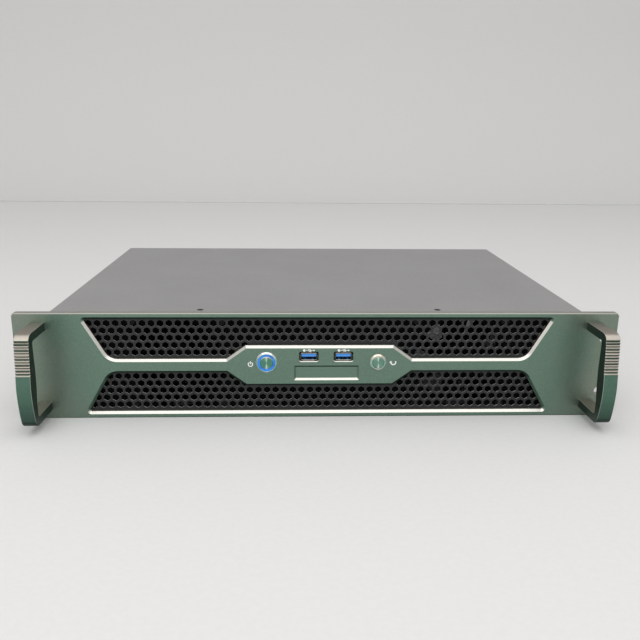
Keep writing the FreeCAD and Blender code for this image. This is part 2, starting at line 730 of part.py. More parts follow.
def side_corner(y, z):
    """Test for an edge across the handle at a corner of its side view."""
    def test(edge):
        mid = edge.CenterOfMass
        return along(edge, V(1, 0, 0)) and abs(mid.y - y) < 0.15 and abs(mid.z - z) < 0.15
    return test


def make_handle(node, side):
    """Handle on the right (side 1) or the left (side -1)."""
    body = doc.addObject("PartDesign::Body", node)
    start = HANDLE_IN if side > 0 else "-%s - handle_wide" % HANDLE_IN
    shape = sketch_on(body, node + "_side", "YZ_Plane", start)
    loop(shape, GRIP)
    last = pad(body, node + "_bow", shape, "handle_wide")
    rounds = [("knuckle", "knuckle_round", [KNUCKLE]), ("heel", "knuckle_round", [HEEL]),
              ("belly", "belly_round", BELLY), ("throat", "throat_round", THROAT), ("palm", "palm_round", PALM)]
    for label, radius, spots in rounds:
        names = []
        for across, upward in spots:
            names += edges_of(last, side_corner(value(across), value(upward)))
        last = dress(body, "PartDesign::Fillet", "%s_%s" % (node, label), last, names, "Radius", radius)
    foot_y = -size("panel_thick")
    rims = edges_of(last, lambda e: e.BoundBox.XLength < 1e-6 and e.BoundBox.YMin < foot_y - 0.01)
    last = dress(body, "PartDesign::Chamfer", node + "_rims", last, rims, "Size", "handle_bevel")
    # grooves across the upper part of the grip, square to its leaning face
    top_y, top_z = value(KNUCKLE[0]), value(KNUCKLE[1])
    run = V(0, value(RIB_FOOT[0]) - top_y, value(RIB_FOOT[1]) - top_z)
    run.normalize()
    out = V(0, run.z, -run.y)
    grooves = sketch_on(body, node + "_groove_shapes", "YZ_Plane", start)
    mouth = (("0.4", "(-0.48 * rib_pitch)"), ("0.4", "(0.48 * rib_pitch)"), ("(-rib_deep)", "0"))
    for k in range(int(size("rib_count"))):
        step = "(rib_first + %d * rib_pitch)" % k
        spots = []
        for lift, slide in mouth:
            way = "(%s + %s)" % (step, slide)
            spots.append(("%s + %s * %.6f + %s * %.6f" % (KNUCKLE[0], way, run.y, lift, out.y),
                          "%s + %s * %.6f + %s * %.6f" % (KNUCKLE[1], way, run.z, lift, out.z)))
        loop(grooves, spots)
    pocket(body, node + "_grooves", grooves, "handle_wide", back=True)
    # blind holes for the two screws, from the face that meets the panel
    drill = body.newObject("Sketcher::SketchObject", node + "_screw_shapes")
    drill.AttachmentSupport = [(plane(body, "XZ_Plane"), "")]
    drill.MapMode = "FlatFace"
    bind(drill, "AttachmentOffset.Base.z", "panel_thick")
    centre = "%s(%s)" % ("" if side > 0 else "-", handle_x)
    for sz in ("", "-"):
        hexhole(drill, centre, "%s(%s)" % (sz, arm_z), "handle_screw / 2 + 0.05")
    pocket(body, node + "_screw_holes", drill, "handle_bite + 2", back=True)
    keep(node, body)


make_handle("left_handle", -1)
make_handle("right_handle", 1)


# ------------------------------------------------------------------ steel body
tray = doc.addObject("PartDesign::Body", "chassis_tray")
section = sketch_on(tray, "tray_section", "XZ_Plane")
lip_in = TRAY_HALF + " - lip"
side_points = [(TRAY_HALF, FLOOR), (TRAY_HALF, COVER_UNDER), (lip_in, COVER_UNDER),
               (lip_in, COVER_UNDER + " - steel"), (TRAY_IN, COVER_UNDER + " - steel"),
               (TRAY_IN, FLOOR + " + steel")]
loop(section, side_points + [("-(%s)" % x, z) for x, z in reversed(side_points)])
trough = pad(tray, "tray_bends", section, TRAY_END, back=True)
outer_x, under = size("case_width") / 2 - size("steel") - size("cover_gap"), size("panel_height") / 2
lid_z = under - size("cover_drop") - size("steel")
folds = edges_of(trough, lambda e: along(e, V(0, 1, 0)) and any(
    near(e, sx * outer_x, z) for sx in (-1, 1) for z in (-under, lid_z)))
dress(tray, "PartDesign::Fillet", "tray_folds", trough, folds, "Radius", "bend")
keep("chassis_tray", tray)

# front wall: duct holes for the fans, vents beside and between them, a bay for the controls
wall_in = TRAY_IN + " - 0.2"
web = box("front_web", ("-(%s)" % wall_in, wall_in), ("0", "steel"), (FLOOR + " + steel", COVER_UNDER))
shelf = box("front_shelf", ("-(%s) + 0.6" % lip_in, lip_in + " - 0.6"), ("0", "flange"),
            (COVER_UNDER + " - steel", COVER_UNDER))
foot = box("front_foot", ("-(%s)" % wall_in, wall_in), ("0", "flange"),
           (FLOOR + " + steel", FLOOR + " + 2 * steel"))
wall_tools = []
for side in ("", "-"):
    wall_tools.append(rod("duct", "y", (side + "fan_x", "-1", "0"), FAN_BORE, "steel + 2"))
    low, high = ("(%s) - 0.4" % lip_in, "(%s) + 1" % wall_in)
    pair = (low, high) if not side else ("-(%s)" % high, "-(%s)" % low)
    wall_tools.append(box("front_notch", pair, ("-1", "steel + 1"),
                          (COVER_UNDER + " - steel - 0.3", COVER_UNDER + " + 1")))
    spot = (side + "cover_screw_x", "cover_screw_y", COVER_UNDER + " - steel - 1")
    wall_tools.append(rod("front_screw_hole", "z", spot, "screw_dia / 2 + screw_gap / 2", "steel + 2"))
bay_half = "(fan_x - fan_size / 2 - 7)"
wall_tools.append(box("control_bay", ("-" + bay_half, bay_half), ("-1", "steel + 1"), ("-bay_low", "bay_high")))
fan_spots = [(sx, dx, dz) for sx in ("", "-") for dx in ("-", "+") for dz in ("-", "")]
for sx, dx, dz in fan_spots:
    x = "%sfan_x %s %s" % (sx, dx, FAN_SPOT)
    wall_tools.append(rod("fan_screw_sink", "y", (x, "0", dz + FAN_SPOT), "fan_head + screw_gap", "steel",
                          "fan_head + screw_gap - steel"))
panel_spots = [(sx, sz) for sx in ("-", "") for sz in ("-", "")]
for sx, sz in panel_spots:
    wall_tools.append(hexrod("panel_screw_way", "y", (sx + PANEL_SCREW_X, "-1", sz + "panel_screw_z"),
                             "screw_dia / 2 + screw_gap", "steel + 2"))
front_wall = cut("front_wall", fuse("front_wall_sheet", [web, shelf, foot]), wall_tools)
keep("front_wall", front_wall)

# rear wall
REAR_IN = "(case_depth - 2 * steel - cover_gap)"
rear_web = box("rear_web", ("-(%s)" % wall_in, wall_in), (REAR_IN, TRAY_END), (FLOOR + " + steel", COVER_UNDER))
rear_shelf = box("rear_shelf", ("-(%s) + 0.6" % lip_in, lip_in + " - 0.6"), (REAR_IN + " - flange", TRAY_END),
                 (COVER_UNDER + " - steel", COVER_UNDER))
rear_tools = []
for side in ("", "-"):
    low, high = ("(%s) - 0.4" % lip_in, "(%s) + 1" % wall_in)
    pair = (low, high) if not side else ("-(%s)" % high, "-(%s)" % low)
    rear_tools.append(box("rear_notch", pair, (REAR_IN + " - 1", TRAY_END + " + 1"),
                          (COVER_UNDER + " - steel - 0.3", COVER_UNDER + " + 1")))
    spot = (side + "thumb_x", REAR_IN + " - 1", COVER_UNDER + " - thumb_drop")
    rear_tools.append(rod("thumb_hole", "y", spot, "screw_dia / 2 + screw_gap / 2", "steel + 2"))
CUT_Y = (REAR_IN + " - 1", TRAY_END + " + 1")
SILL = "(-panel_height / 2 + steel)"
IO_X = (BOARD_IO + " - board_gap - io_wide", BOARD_IO + " - board_gap")
rear_tools.append(box("io_opening", IO_X, CUT_Y, (SILL + " + io_sill", SILL + " + io_sill + io_high")))
PSU_X = "(%s + psu_wide / 2)" % PSU_IN
PSU_Z = "(%s + psu_high / 2)" % SILL
rear_tools.append(box("psu_opening", (PSU_X + " - psu_wide / 2 + 6", PSU_X + " + psu_wide / 2 - 6"), CUT_Y,
                      (PSU_Z + " - psu_high / 2 + 4", PSU_Z + " + psu_high / 2 - 4")))
psu_holes = [(sx, sz) for sx in ("-", "+") for sz in ("-", "+")]
for sx, sz in psu_holes:
    rear_tools.append(rod("psu_hole", "y", ("%s %s (psu_wide / 2 - 3.2)" % (PSU_X, sx), REAR_IN + " - 1",
                                            "%s %s (psu_high / 2 - 5)" % (PSU_Z, sz)), "1.75", "steel + 2"))
SLOT_Z = SILL + " + 5"


def slot_x(k):
    """Middle of expansion slot k, counted from the input-output opening."""
    return "(%s - board_gap - io_wide - %.1f * slot_pitch)" % (BOARD_IO, k + 0.5)


slots = range(int(size("slot_count")))
for k in slots:
    rear_tools.append(box("slot_opening", (slot_x(k) + " - slot_wide / 2", slot_x(k) + " + slot_wide / 2"),
                          CUT_Y, (SLOT_Z, SLOT_Z + " + slot_high")))
psu_vents = int((size("psu_wide") - 10) / size("vent_pitch"))
for k in range(psu_vents):
    x = "%s + %.1f * vent_pitch" % (PSU_X, k - (psu_vents - 1) / 2)
    rear_tools.append(box("psu_vent", (x + " - vent_wide / 2", x + " + vent_wide / 2"), CUT_Y,
                          (SILL + " + psu_high + 6", COVER_UNDER + " - thumb_drop - 6")))
io_vents = int((size("io_wide") - 8) / size("vent_pitch"))
for k in range(io_vents):
    x = "%s - board_gap - io_wide / 2 + %.1f * vent_pitch" % (BOARD_IO, k - (io_vents - 1) / 2)
    rear_tools.append(box("io_vent", (x + " - vent_wide / 2", x + " + vent_wide / 2"), CUT_Y,
                          (SILL + " + io_sill + io_high + 6", COVER_UNDER + " - steel - 5")))
rear_panel = cut("rear_panel", fuse("rear_panel_sheet", [rear_web, rear_shelf]), rear_tools)
keep("rear_panel", rear_panel)

# ledge that the slot blanks hang from
BLANK_TOP = "(%s + slot_high + 4)" % SLOT_Z
ledge_x = (slot_x(slots[-1]) + " - slot_pitch / 2", slot_x(0) + " + slot_pitch / 2 - 0.5")
BLANK_IN = REAR_IN + " - blank_thick"
ledge_bar = box("ledge_bar", ledge_x, (BLANK_IN + " - flange", BLANK_IN), (BLANK_TOP + " - steel", BLANK_TOP))
ledge_lip = box("ledge_lip", ledge_x, (BLANK_IN + " - flange", BLANK_IN + " - flange + steel"),
                (BLANK_TOP + " - 8", BLANK_TOP))
ledge_ends = []
for name, pair in (("ledge_end_a", (ledge_x[0], ledge_x[0] + " + steel")),
                   ("ledge_end_b", (ledge_x[1] + " - steel", ledge_x[1]))):
    ledge_ends.append(box(name, pair, (BLANK_IN + " - flange", REAR_IN), (BLANK_TOP + " - 8", BLANK_TOP)))
blank_screw_y = BLANK_IN + " - 6"
ledge_holes = [hexrod("ledge_hole", "z", (slot_x(k), blank_screw_y, BLANK_TOP + " - steel - 1"),
                      "screw_dia / 2 + screw_gap / 2", "steel + 2") for k in slots]
slot_ledge = cut("slot_ledge", fuse("slot_ledge_sheet", [ledge_bar, ledge_lip] + ledge_ends), ledge_holes)
keep("slot_ledge", slot_ledge)

blank_screws = []
for k in slots:
    cx = slot_x(k)
    wide = "(blank_wide / 2)" if k not in (0, slots[-1]) else "(blank_wide / 2 - 1.0)"
    blade = box("blade", (cx + " - " + wide, cx + " + " + wide), (BLANK_IN, REAR_IN),
                (SLOT_Z + " - 3", BLANK_TOP + " + blank_thick"))
    tab = box("tab", (cx + " - " + wide, cx + " + " + wide), (BLANK_IN + " - 11", REAR_IN),
              (BLANK_TOP, BLANK_TOP + " + blank_thick"))
    eye = hexrod("eye", "z", (cx, blank_screw_y, BLANK_TOP + " - 1"),
                 "screw_dia / 2 + screw_gap", "blank_thick + 2")
    keep("slot_blank_%d" % (k + 1), cut("slot_blank_%d" % (k + 1), fuse("blank_sheet", [blade, tab]), [eye]))
    shank = hexrod("blank_shank", "z", (cx, blank_screw_y, BLANK_TOP + " - steel - 1.5"), "screw_dia / 2",
                   "steel + blank_thick + 1.5")
    head = hexbar("blank_head", "z", (cx, blank_screw_y, BLANK_TOP + " + blank_thick"), "hex_head", "head_high")
    blank_screws.append(fuse("blank_screw", [shank, head]))
keep("blank_screws", group("blank_screws", blank_screws))

# ------------------------------------------------------------------- top cover
COVER_Y = ("cover_gap", "case_depth")
lid = box("cover_sheet", ("-case_width / 2", "case_width / 2"), COVER_Y, (COVER_UNDER, COVER_TOP))
SKIRT_Z = (COVER_UNDER + " - skirt_high", COVER_TOP)
skirts = [box("skirt_r", ("case_width / 2 - steel", "case_width / 2"), COVER_Y, SKIRT_Z),
          box("skirt_l", ("-case_width / 2", "-case_width / 2 + steel"), COVER_Y, SKIRT_Z),
          box("skirt_b", ("-case_width / 2", "case_width / 2"), ("case_depth - steel", "case_depth"), SKIRT_Z)]
cover_tools = []
for side in ("", "-"):
    spot = (side + "cover_screw_x", "cover_screw_y", COVER_UNDER)
    cover_tools.append(rod("cover_sink", "z", spot, "screw_dia / 2 + screw_gap", "steel",
                           "screw_dia / 2 + screw_gap + 1.3"))
    slit = "(screw_dia / 2 + 0.4)"
    cover_tools.append(box("skirt_notch", ("%sthumb_x - %s" % (side, slit), "%sthumb_x + %s" % (side, slit)),
                           ("case_depth - steel - 1", "case_depth + 1"),
                           (COVER_UNDER + " - skirt_high - 1", COVER_UNDER + " - thumb_drop + " + slit)))
cover_body = fuse("cover_bends", [lid] + skirts)
top_cover = cut("top_cover", cover_body, cover_tools)
keep("top_cover", top_cover)

cover_screws = []
thumbs = []
for side in ("", "-"):
    x = side + "cover_screw_x"
    spot = (x, "cover_screw_y", COVER_UNDER + " + 0.1")
    sink = rod("cover_screw_head", "z", spot, "screw_dia / 2", "steel - 0.15", "screw_dia / 2 + 1.25")
    stem = hexrod("cover_screw_stem", "z", (x, "cover_screw_y", COVER_UNDER + " - 5"), "screw_dia / 2", "5.2")
    cover_screws.append(fuse("cover_screw", [sink, stem]))
    x = side + "thumb_x"
    z = COVER_UNDER + " - thumb_drop"
    knob = rod("thumb_knob", "y", (x, "case_depth + 0.2", z), "thumb_rad", "thumb_long")
    stem = hexrod("thumb_stem", "y", (x, REAR_IN + " - 3", z), "screw_dia / 2", "thumb_long")
    thumbs.append(fuse("thumb_screw", [knob, stem]))
keep("cover_screws", group("cover_screws", cover_screws))
keep("thumb_screws", group("thumb_screws", thumbs))


# -------------------------------------------------------------------- switches
def make_switch(name, ring=None):
    """Round panel switch: sloped bezel and barrel, moving cap, nut, and a lit ring if it has one."""
    x, barrel, cap, travel = name + "_x", name + "_barrel", name + "_cap", name + "_travel"
    bezel = "(%s_barrel + %s_flange)" % (name, name)
    face = "-panel_thick - bezel_proud"
    flange_ = rod(name + "_flange", "y", (x, face + " + bezel_slope", "switch_z"),
                  bezel, "bezel_proud - bezel_slope")
    slope = rod(name + "_slope", "y", (x, face, "switch_z"), bezel + " - bezel_slope", "bezel_slope", bezel)
    body = rod(name + "_body", "y", (x, "-panel_thick - 0.5", "switch_z"), barrel, "barrel_long + 0.5")
    pins = []
    for dx in ("-2.5", "+2.5"):
        pins.append(box(name + "_pin", ("%s %s - 0.4" % (x, dx), "%s %s + 0.4" % (x, dx)),
                        ("barrel_long - panel_thick - 1", "barrel_long - panel_thick + 5"),
                        ("switch_z - 1.4", "switch_z + 1.4")))
    room = "cap_long + boss_long + %s + end_gap" % travel
    cavity = rod(name + "_cavity", "y", (x, face + " - 1", "switch_z"), cap + " + cap_gap", room + " + 1")
    tools = [cavity]
    if ring:
        tools.append(rod(name + "_ring_seat", "y", (x, face + " - 1", "switch_z"), ring, "bezel_proud + 0.5"))
    solid_ = fuse(name + "_switch_solid", [flange_, slope, body] + pins)
    keep(name + "_switch", cut(name + "_switch", solid_, tools))
    knob = rod(name + "_cap", "y", (x, face + " + 0.1", "switch_z"), cap, "cap_long")
    boss = rod(name + "_boss", "y", (x, face + " + 0.1 + cap_long", "switch_z"), cap + " - 1.2", "boss_long")
    keep(name + "_button", fuse(name + "_button", [knob, boss]))
    blank_ = hexbar(name + "_nut_blank", "y", (x, "0", "switch_z"), "2 * %s + 3.4" % barrel, "nut_thick")
    way = rod(name + "_nut_way", "y", (x, "-1", "switch_z"), barrel, "nut_thick + 2")
    keep(name + "_nut", cut(name + "_nut", blank_, [way]))
    if ring:
        band = rod(name + "_band", "y", (x, face + " + 0.25", "switch_z"), ring, "bezel_proud - 0.75")
        hollow = rod(name + "_band_way", "y", (x, face + " - 1", "switch_z"),
                     cap + " + cap_gap", "bezel_proud + 3")
        keep(name + "_ring", cut(name + "_ring", band, [hollow]))


make_switch("power", "power_ring")
make_switch("reset")

# ------------------------------------------------------------ front data ports
PORT_FRONT = "(-panel_thick + port_back)"
BOARD_TOP = "(port_z - port_h / 2)"
for name, x in (("left", "port_left_x"), ("right", "port_right_x")):
    low = "port_z - port_h / 2"
    high = "port_z + port_h / 2"
    can = box("port_can", (x + " - port_w / 2", x + " + port_w / 2"),
              (PORT_FRONT, PORT_FRONT + " + port_deep"), (low, high))
    mouth = box("port_mouth", (x + " - port_w / 2 + port_wall", x + " + port_w / 2 - port_wall"),
                (PORT_FRONT + " - 1", PORT_FRONT + " + port_deep - 3"),
                (low + " + port_wall", high + " - port_wall"))
    keep("port_shell_" + name, cut("port_shell_" + name, can, [mouth]))
    keep("port_tongue_" + name, box("port_tongue_" + name,
         (x + " - port_w / 2 + port_wall + tongue_side", x + " + port_w / 2 - port_wall - tongue_side"),
         (PORT_FRONT + " + 0.6", PORT_FRONT + " + port_deep - 3"),
         (high + " - port_wall - 0.5 - tongue_h", high + " - port_wall - 0.5")))
card = box("port_card", BOARD_X, ("0.3", "24"), (BOARD_TOP + " - board_thick", BOARD_TOP))
card_ways = [hexrod("card_way", "z", (x, "board_screw_y", BOARD_TOP + " - 3"), "screw_dia / 2 + screw_gap", "5")
             for x in PORT_SCREW_X]
keep("port_board", cut("port_board", card, card_ways))
header_x = "(port_left_x + port_right_x) / 2"
keep("port_header", box("port_header", (header_x + " - 6", header_x + " + 6"),
                        ("14.5", "23"), (BOARD_TOP, BOARD_TOP + " + 7")))
UNDER = "(%s - board_thick)" % BOARD_TOP
seat_deck = box("bracket_deck", BOARD_X, ("0", "22"), (UNDER + " - 1", UNDER))
seat_wall = box("bracket_wall", BOARD_X, ("0", "1"), ("-bay_low + 0.7", UNDER))
seat_ways = []
for x in PORT_SCREW_X:
    tapping = "screw_dia / 2 + screw_gap / 2"
    seat_ways.append(hexrod("deck_way", "z", (x, "board_screw_y", UNDER + " - 2"), tapping, "3"))
    seat_ways.append(hexrod("wall_way", "y", (x, "-1", BRACKET_SCREW_Z), tapping, "3"))
keep("port_bracket", cut("port_bracket", fuse("port_bracket_sheet", [seat_deck, seat_wall]), seat_ways))
port_screws = []
for x in PORT_SCREW_X:
    head = hexbar("card_head", "z", (x, "board_screw_y", BOARD_TOP), "hex_head", "head_high")
    stem = hexrod("card_stem", "z", (x, "board_screw_y", UNDER + " - 2"), "screw_dia / 2", "board_thick + 2.4")
    port_screws.append(fuse("card_screw", [head, stem]))
    head = hexbar("wall_head", "y", (x, "1", BRACKET_SCREW_Z), "hex_head", "head_high")
    stem = hexrod("wall_stem", "y", (x, "-3", BRACKET_SCREW_Z), "screw_dia / 2", "4.5")
    port_screws.append(fuse("wall_screw", [head, stem]))
keep("port_screws", group("port_screws", port_screws))

# ------------------------------------------------------------------------ fans
def blade(name, side, k, count):
    """One fan blade: a thin plate pitched about its own radius, then trimmed to the ring."""
    inner_r = size("fan_hub") - 1.0
    outer_r = value(FAN_BORE + " - fan_clear")
    depth = size("fan_thick") - 10
    x = Part.makeBox(outer_r + 2 - inner_r, 1.3, depth * 1.25)
    x.translate(V(inner_r, -0.65, -depth * 0.625))
    x.rotate(V(0, 0, 0), V(1, 0, 0), 48 * side)
    rim_ = Part.makeCylinder(outer_r, 60, V(0, 0, -30))
    core = Part.makeCylinder(inner_r, 60, V(0, 0, -30))
    x = x.common(rim_).cut(core)
    x.rotate(V(0, 0, 0), V(0, 0, 1), 360.0 * k / count)
    return x


def make_fan(name, side, centre):
    """Axial fan: frame with duct, struts and hub plate, and a seven-blade rotor."""
    half = "fan_size / 2"
    block = box(name + "_block", (centre + " - " + half, centre + " + " + half),
                ("steel", "steel + fan_thick"), ("-" + half, half))
    waist_tools = []
    for z_pair in (("-%s - 1" % half, "-%s + 4" % half), ("%s - 4" % half, "%s + 1" % half)):
        waist_tools.append(box(name + "_waist",
                               (centre + " - fan_size / 2 + 16", centre + " + fan_size / 2 - 16"),
                               ("steel + 4", "steel + fan_thick - 4"), z_pair))
    duct = rod(name + "_duct", "y", (centre, "0", "0"), FAN_BORE, "fan_thick + 4")
    bores = []
    for dx in ("-", "+"):
        for dz in ("-", ""):
            bores.append(hexrod(name + "_bore", "y", ("%s %s %s" % (centre, dx, FAN_SPOT), "0", dz + FAN_SPOT),
                                "fan_screw + screw_gap", "fan_thick + 4"))
    shell_ = cut(name + "_shell", block, [duct] + bores + waist_tools)
    back = "steel + fan_thick"
    plate_ = rod(name + "_plate", "y", (centre, back + " - 3", "0"), "fan_hub", "3")
    struts = []
    for k in range(3):
        bar = doc.addObject("Part::Box", name + "_strut")
        bind(bar, "Length", FAN_BORE + " - fan_hub + 3")
        bar.Width = 3
        bar.Height = 5
        turn = ROT(V(0, 1, 0), 120 * k + 45)
        bar.Placement = FreeCAD.Placement(V(0, 0, 0), turn)
        shift = turn.multVec(V(1, 0, 0))
        across = turn.multVec(V(0, 0, 1))
        bind(bar, "Placement.Base.x",
             "%s + (fan_hub - 2) * (%.6f) - 2.5 * (%.6f)" % (centre, shift.x, across.x))
        bind(bar, "Placement.Base.y", back + " - 3")
        bind(bar, "Placement.Base.z", "(fan_hub - 2) * (%.6f) - 2.5 * (%.6f)" % (shift.z, across.z))
        struts.append(bar)
    keep(name + "_frame", fuse(name + "_frame", [shell_, plate_] + struts))
    hub = Part.makeCylinder(size("fan_hub"), size("fan_thick") - 4 - size("fan_seat"),
                            V(0, 0, -(size("fan_thick") - 4 - size("fan_seat")) / 2))
    rotor = hub
    for k in range(7):
        rotor = rotor.fuse(blade(name, side, k, 7))
    rotor = rotor.removeSplitter()
    item = doc.addObject("Part::Feature", name + "_rotor")
    item.Shape = rotor
    item.Placement = FreeCAD.Placement(V(0, 0, 0), TURN["y"])
    bind(item, "Placement.Base.x", centre)
    bind(item, "Placement.Base.y", "steel + fan_thick - 3 - fan_seat - (fan_thick - 4 - fan_seat) / 2")
    keep(name + "_rotor", item)


make_fan("left_fan", 1, "-fan_x")
make_fan("right_fan", 1, "fan_x")

fan_screws = []
for sx, dx, dz in fan_spots:
    x = "%sfan_x %s %s" % (sx, dx, FAN_SPOT)
    head = rod("fan_head", "y", (x, "0.05", dz + FAN_SPOT),
               "fan_head - 0.05", "steel - 0.1", "fan_head - steel + 0.05")
    stem = hexrod("fan_stem", "y", (x, "steel - 0.2", dz + FAN_SPOT), "fan_screw", "9")
    fan_screws.append(fuse("fan_screw", [head, stem]))
keep("fan_screws", group("fan_screws", fan_screws))

# ------------------------------------------------- screws of the front assembly
handle_screws = []
for sx in ("", "-"):
    for sz in ("", "-"):
        x = "%s(%s)" % (sx, handle_x)
        z = "%s(%s)" % (sz, arm_z)
        head = rod("handle_head", "y", (x, "-handle_sink", z), "handle_screw / 2", "handle_sink - 0.05",
                   "handle_screw / 2 + handle_sink - 0.05")
        stem = hexrod("handle_stem", "y", (x, "-panel_thick - handle_bite", z), "handle_screw / 2",
                      "panel_thick + handle_bite - 0.5")
        handle_screws.append(fuse("handle_screw", [head, stem]))
keep("handle_screws", group("handle_screws", handle_screws))
panel_screws = []
for sx, sz in panel_spots:
    x = sx + PANEL_SCREW_X
    head = hexbar("panel_head", "y", (x, "steel", sz + "panel_screw_z"), "hex_head", "head_high")
    stem = hexrod("panel_stem", "y", (x, "-3", sz + "panel_screw_z"), "screw_dia / 2", "steel + 3.5")
    panel_screws.append(fuse("panel_screw", [head, stem]))
keep("panel_screws", group("panel_screws", panel_screws))

# ----------------------------------------------------------- inside the body
# nine stand-offs for a full size main board, at its standard hole places
EDGE_X = "(%s - board_wide)" % BOARD_IO
FIRST_X = EDGE_X + " + 16.51"
STUDS = []
for dx in ("0", "124.46", "281.94"):
    for dy in ("10.16", "165.1", "237.49"):
        if (dx, dy) == ("281.94", "10.16"):
            dy = "33.02"
        STUDS.append((dx, dy))
studs = []
for dx, dy in STUDS:
    spot = ("%s + %s" % (FIRST_X, dx), "%s - %s" % (BOARD_REAR, dy), SILL)
    post = hexbar("stud_post", "z", spot, "stud_flats", "stud_high")
    well = rod("stud_well", "z", (spot[0], spot[1], SILL + " + 1"), "1.5", "stud_high")
    studs.append(cut("stud", post, [well]))
keep("board_studs", group("board_studs", studs))

# raised bracket for a small drive in front of the power unit bay
BX = (PSU_X + " - bracket_wide / 2", PSU_X + " + bracket_wide / 2")
BY = ("bracket_y", "bracket_y + bracket_long")
DECK = SILL + " + bracket_high"
deck = box("bracket_deck", BX, BY, (DECK + " - steel", DECK))
sides = [box("bracket_leg", (BX[0], BX[0] + " + steel"), BY, (SILL, DECK)),
         box("bracket_leg", (BX[1] + " - steel", BX[1]), BY, (SILL, DECK))]
DRIVE_Y = "bracket_y + bracket_long / 2"
deck_holes = []
for sx in ("-", "+"):
    for sy in ("-", "+"):
        spot = ("%s %s drive_x_span / 2" % (PSU_X, sx), "%s %s drive_y_span / 2" % (DRIVE_Y, sy),
                DECK + " - steel - 1")
        deck_holes.append(rod("drive_hole", "z", spot, "1.65", "steel + 2"))
deck_holes.append(box("deck_window", (PSU_X + " - 20", PSU_X + " + 20"),
                      (DRIVE_Y + " - 25", DRIVE_Y + " + 25"), (DECK + " - steel - 1", DECK + " + 1")))
keep("drive_bracket", cut("drive_bracket", fuse("drive_bracket_sheet", [deck] + sides), deck_holes))

# ------------------------------------------------------------ check and write
doc.recompute()
for obj in doc.Objects:
    if "Invalid" in obj.State or "Error" in obj.State:
        raise RuntimeError("failed object: " + obj.Name)
for node, obj in parts.items():
    if obj.Shape.isNull() or not obj.Shape.isValid():
        raise RuntimeError("bad shape: " + node)
os.makedirs("parts", exist_ok=True)
for node, obj in parts.items():
    obj.Shape.exportStep("parts/%s.step" % node)
print(len(parts), "sub-parts written")
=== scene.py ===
# %% [markdown]
# # A rackmount server case, finished piece by piece
#
# The metalwork comes in finished from the CAD model: a machined front plate, two
# grab handles, perforated sheets and a folded steel box. This lesson gives every
# piece the finish its real counterpart has, and makes again, rounder and finer,
# the small pieces that the eye goes to: turned switches, ribbed handles, pressed
# port shells, knurled and cross-recessed screws, and the printed marks.

# %% Load the frame
import math
import bmesh
import bpy
import numpy as np
from mathutils import Matrix, Vector


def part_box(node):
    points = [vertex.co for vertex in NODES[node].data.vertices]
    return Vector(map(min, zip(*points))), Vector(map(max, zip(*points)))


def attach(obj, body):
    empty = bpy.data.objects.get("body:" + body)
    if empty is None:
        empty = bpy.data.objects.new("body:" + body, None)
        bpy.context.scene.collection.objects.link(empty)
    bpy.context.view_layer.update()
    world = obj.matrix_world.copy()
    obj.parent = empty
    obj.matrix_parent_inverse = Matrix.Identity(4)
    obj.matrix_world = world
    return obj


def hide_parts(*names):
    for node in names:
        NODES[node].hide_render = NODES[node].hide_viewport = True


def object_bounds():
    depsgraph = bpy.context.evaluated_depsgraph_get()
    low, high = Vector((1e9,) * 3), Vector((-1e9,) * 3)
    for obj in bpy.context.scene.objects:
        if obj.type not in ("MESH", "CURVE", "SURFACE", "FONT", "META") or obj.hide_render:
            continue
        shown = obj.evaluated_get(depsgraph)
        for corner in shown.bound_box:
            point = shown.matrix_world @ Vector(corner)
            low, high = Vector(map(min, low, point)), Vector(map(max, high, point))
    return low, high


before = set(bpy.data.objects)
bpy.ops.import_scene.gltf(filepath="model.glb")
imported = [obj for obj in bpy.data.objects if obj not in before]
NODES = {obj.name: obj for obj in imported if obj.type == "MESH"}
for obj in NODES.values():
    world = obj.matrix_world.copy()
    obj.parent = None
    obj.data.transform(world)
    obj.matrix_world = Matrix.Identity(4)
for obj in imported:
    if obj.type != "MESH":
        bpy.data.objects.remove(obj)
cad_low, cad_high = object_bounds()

print("case", [round((b - a) * 1000, 1) for a, b in zip(cad_low, cad_high)], "mm")

# %% [markdown]
# Blender works in metres and in linear light. Sizes below are written in
# millimetres and colours as the hex codes a paint shop would quote, so a factor
# and a small function do the turning.

# %% Units and colour
MM = 0.001


def linear(code):
    """sRGB hex code to linear colour: each channel c becomes ((c + 0.055) / 1.055) ^ 2.4."""
    values = [int(code[k:k + 2], 16) / 255 for k in (1, 3, 5)]
    return tuple(c / 12.92 if c <= 0.04045 else ((c + 0.055) / 1.055) ** 2.4 for c in values) + (1.0,)


print("mid grey in linear light", round(linear("#808080")[0], 3))

# %% [markdown]
# Every finish is a node tree. One helper adds any node, sets its properties and
# sockets, and joins its inputs to what feeds them, so the recipes stay readable.

# %% One helper for nodes
def add(tree, kind, sockets=None, links=None, **properties):
    """Adds one node. sockets: name to value. links: name to the output that feeds it."""
    node = tree.nodes.new("ShaderNode" + kind)
    for key, value in properties.items():
        setattr(node, key, value)
    for key, value in (sockets or {}).items():
        node.inputs[key].default_value = value
    for key, output in (links or {}).items():
        tree.links.new(output, node.inputs[key])
    return node


def new_finish(name, **sockets):
    """A material with one Principled shader; returns the material, its tree and the shader."""
    material = bpy.data.materials.new(name)
    material.use_nodes = True
    tree = material.node_tree
    tree.nodes.clear()
    shader = add(tree, "BsdfPrincipled", sockets)
    add(tree, "OutputMaterial", links={"Surface": shader.outputs["BSDF"]})
    return material, tree, shader


def grain(tree, size_mm, detail=3.0, stretch=(1, 1, 1)):
    """Noise whose features are about size_mm across; a stretch under 1 draws it out along that axis."""
    place = add(tree, "TexCoord").outputs["Object"]
    spread = add(tree, "Mapping", {"Scale": [s / (size_mm * MM) for s in stretch]}, {"Vector": place})
    return add(tree, "TexNoise", {"Scale": 1.0, "Detail": detail, "Roughness": 0.55},
               {"Vector": spread.outputs["Vector"]}).outputs["Fac"]


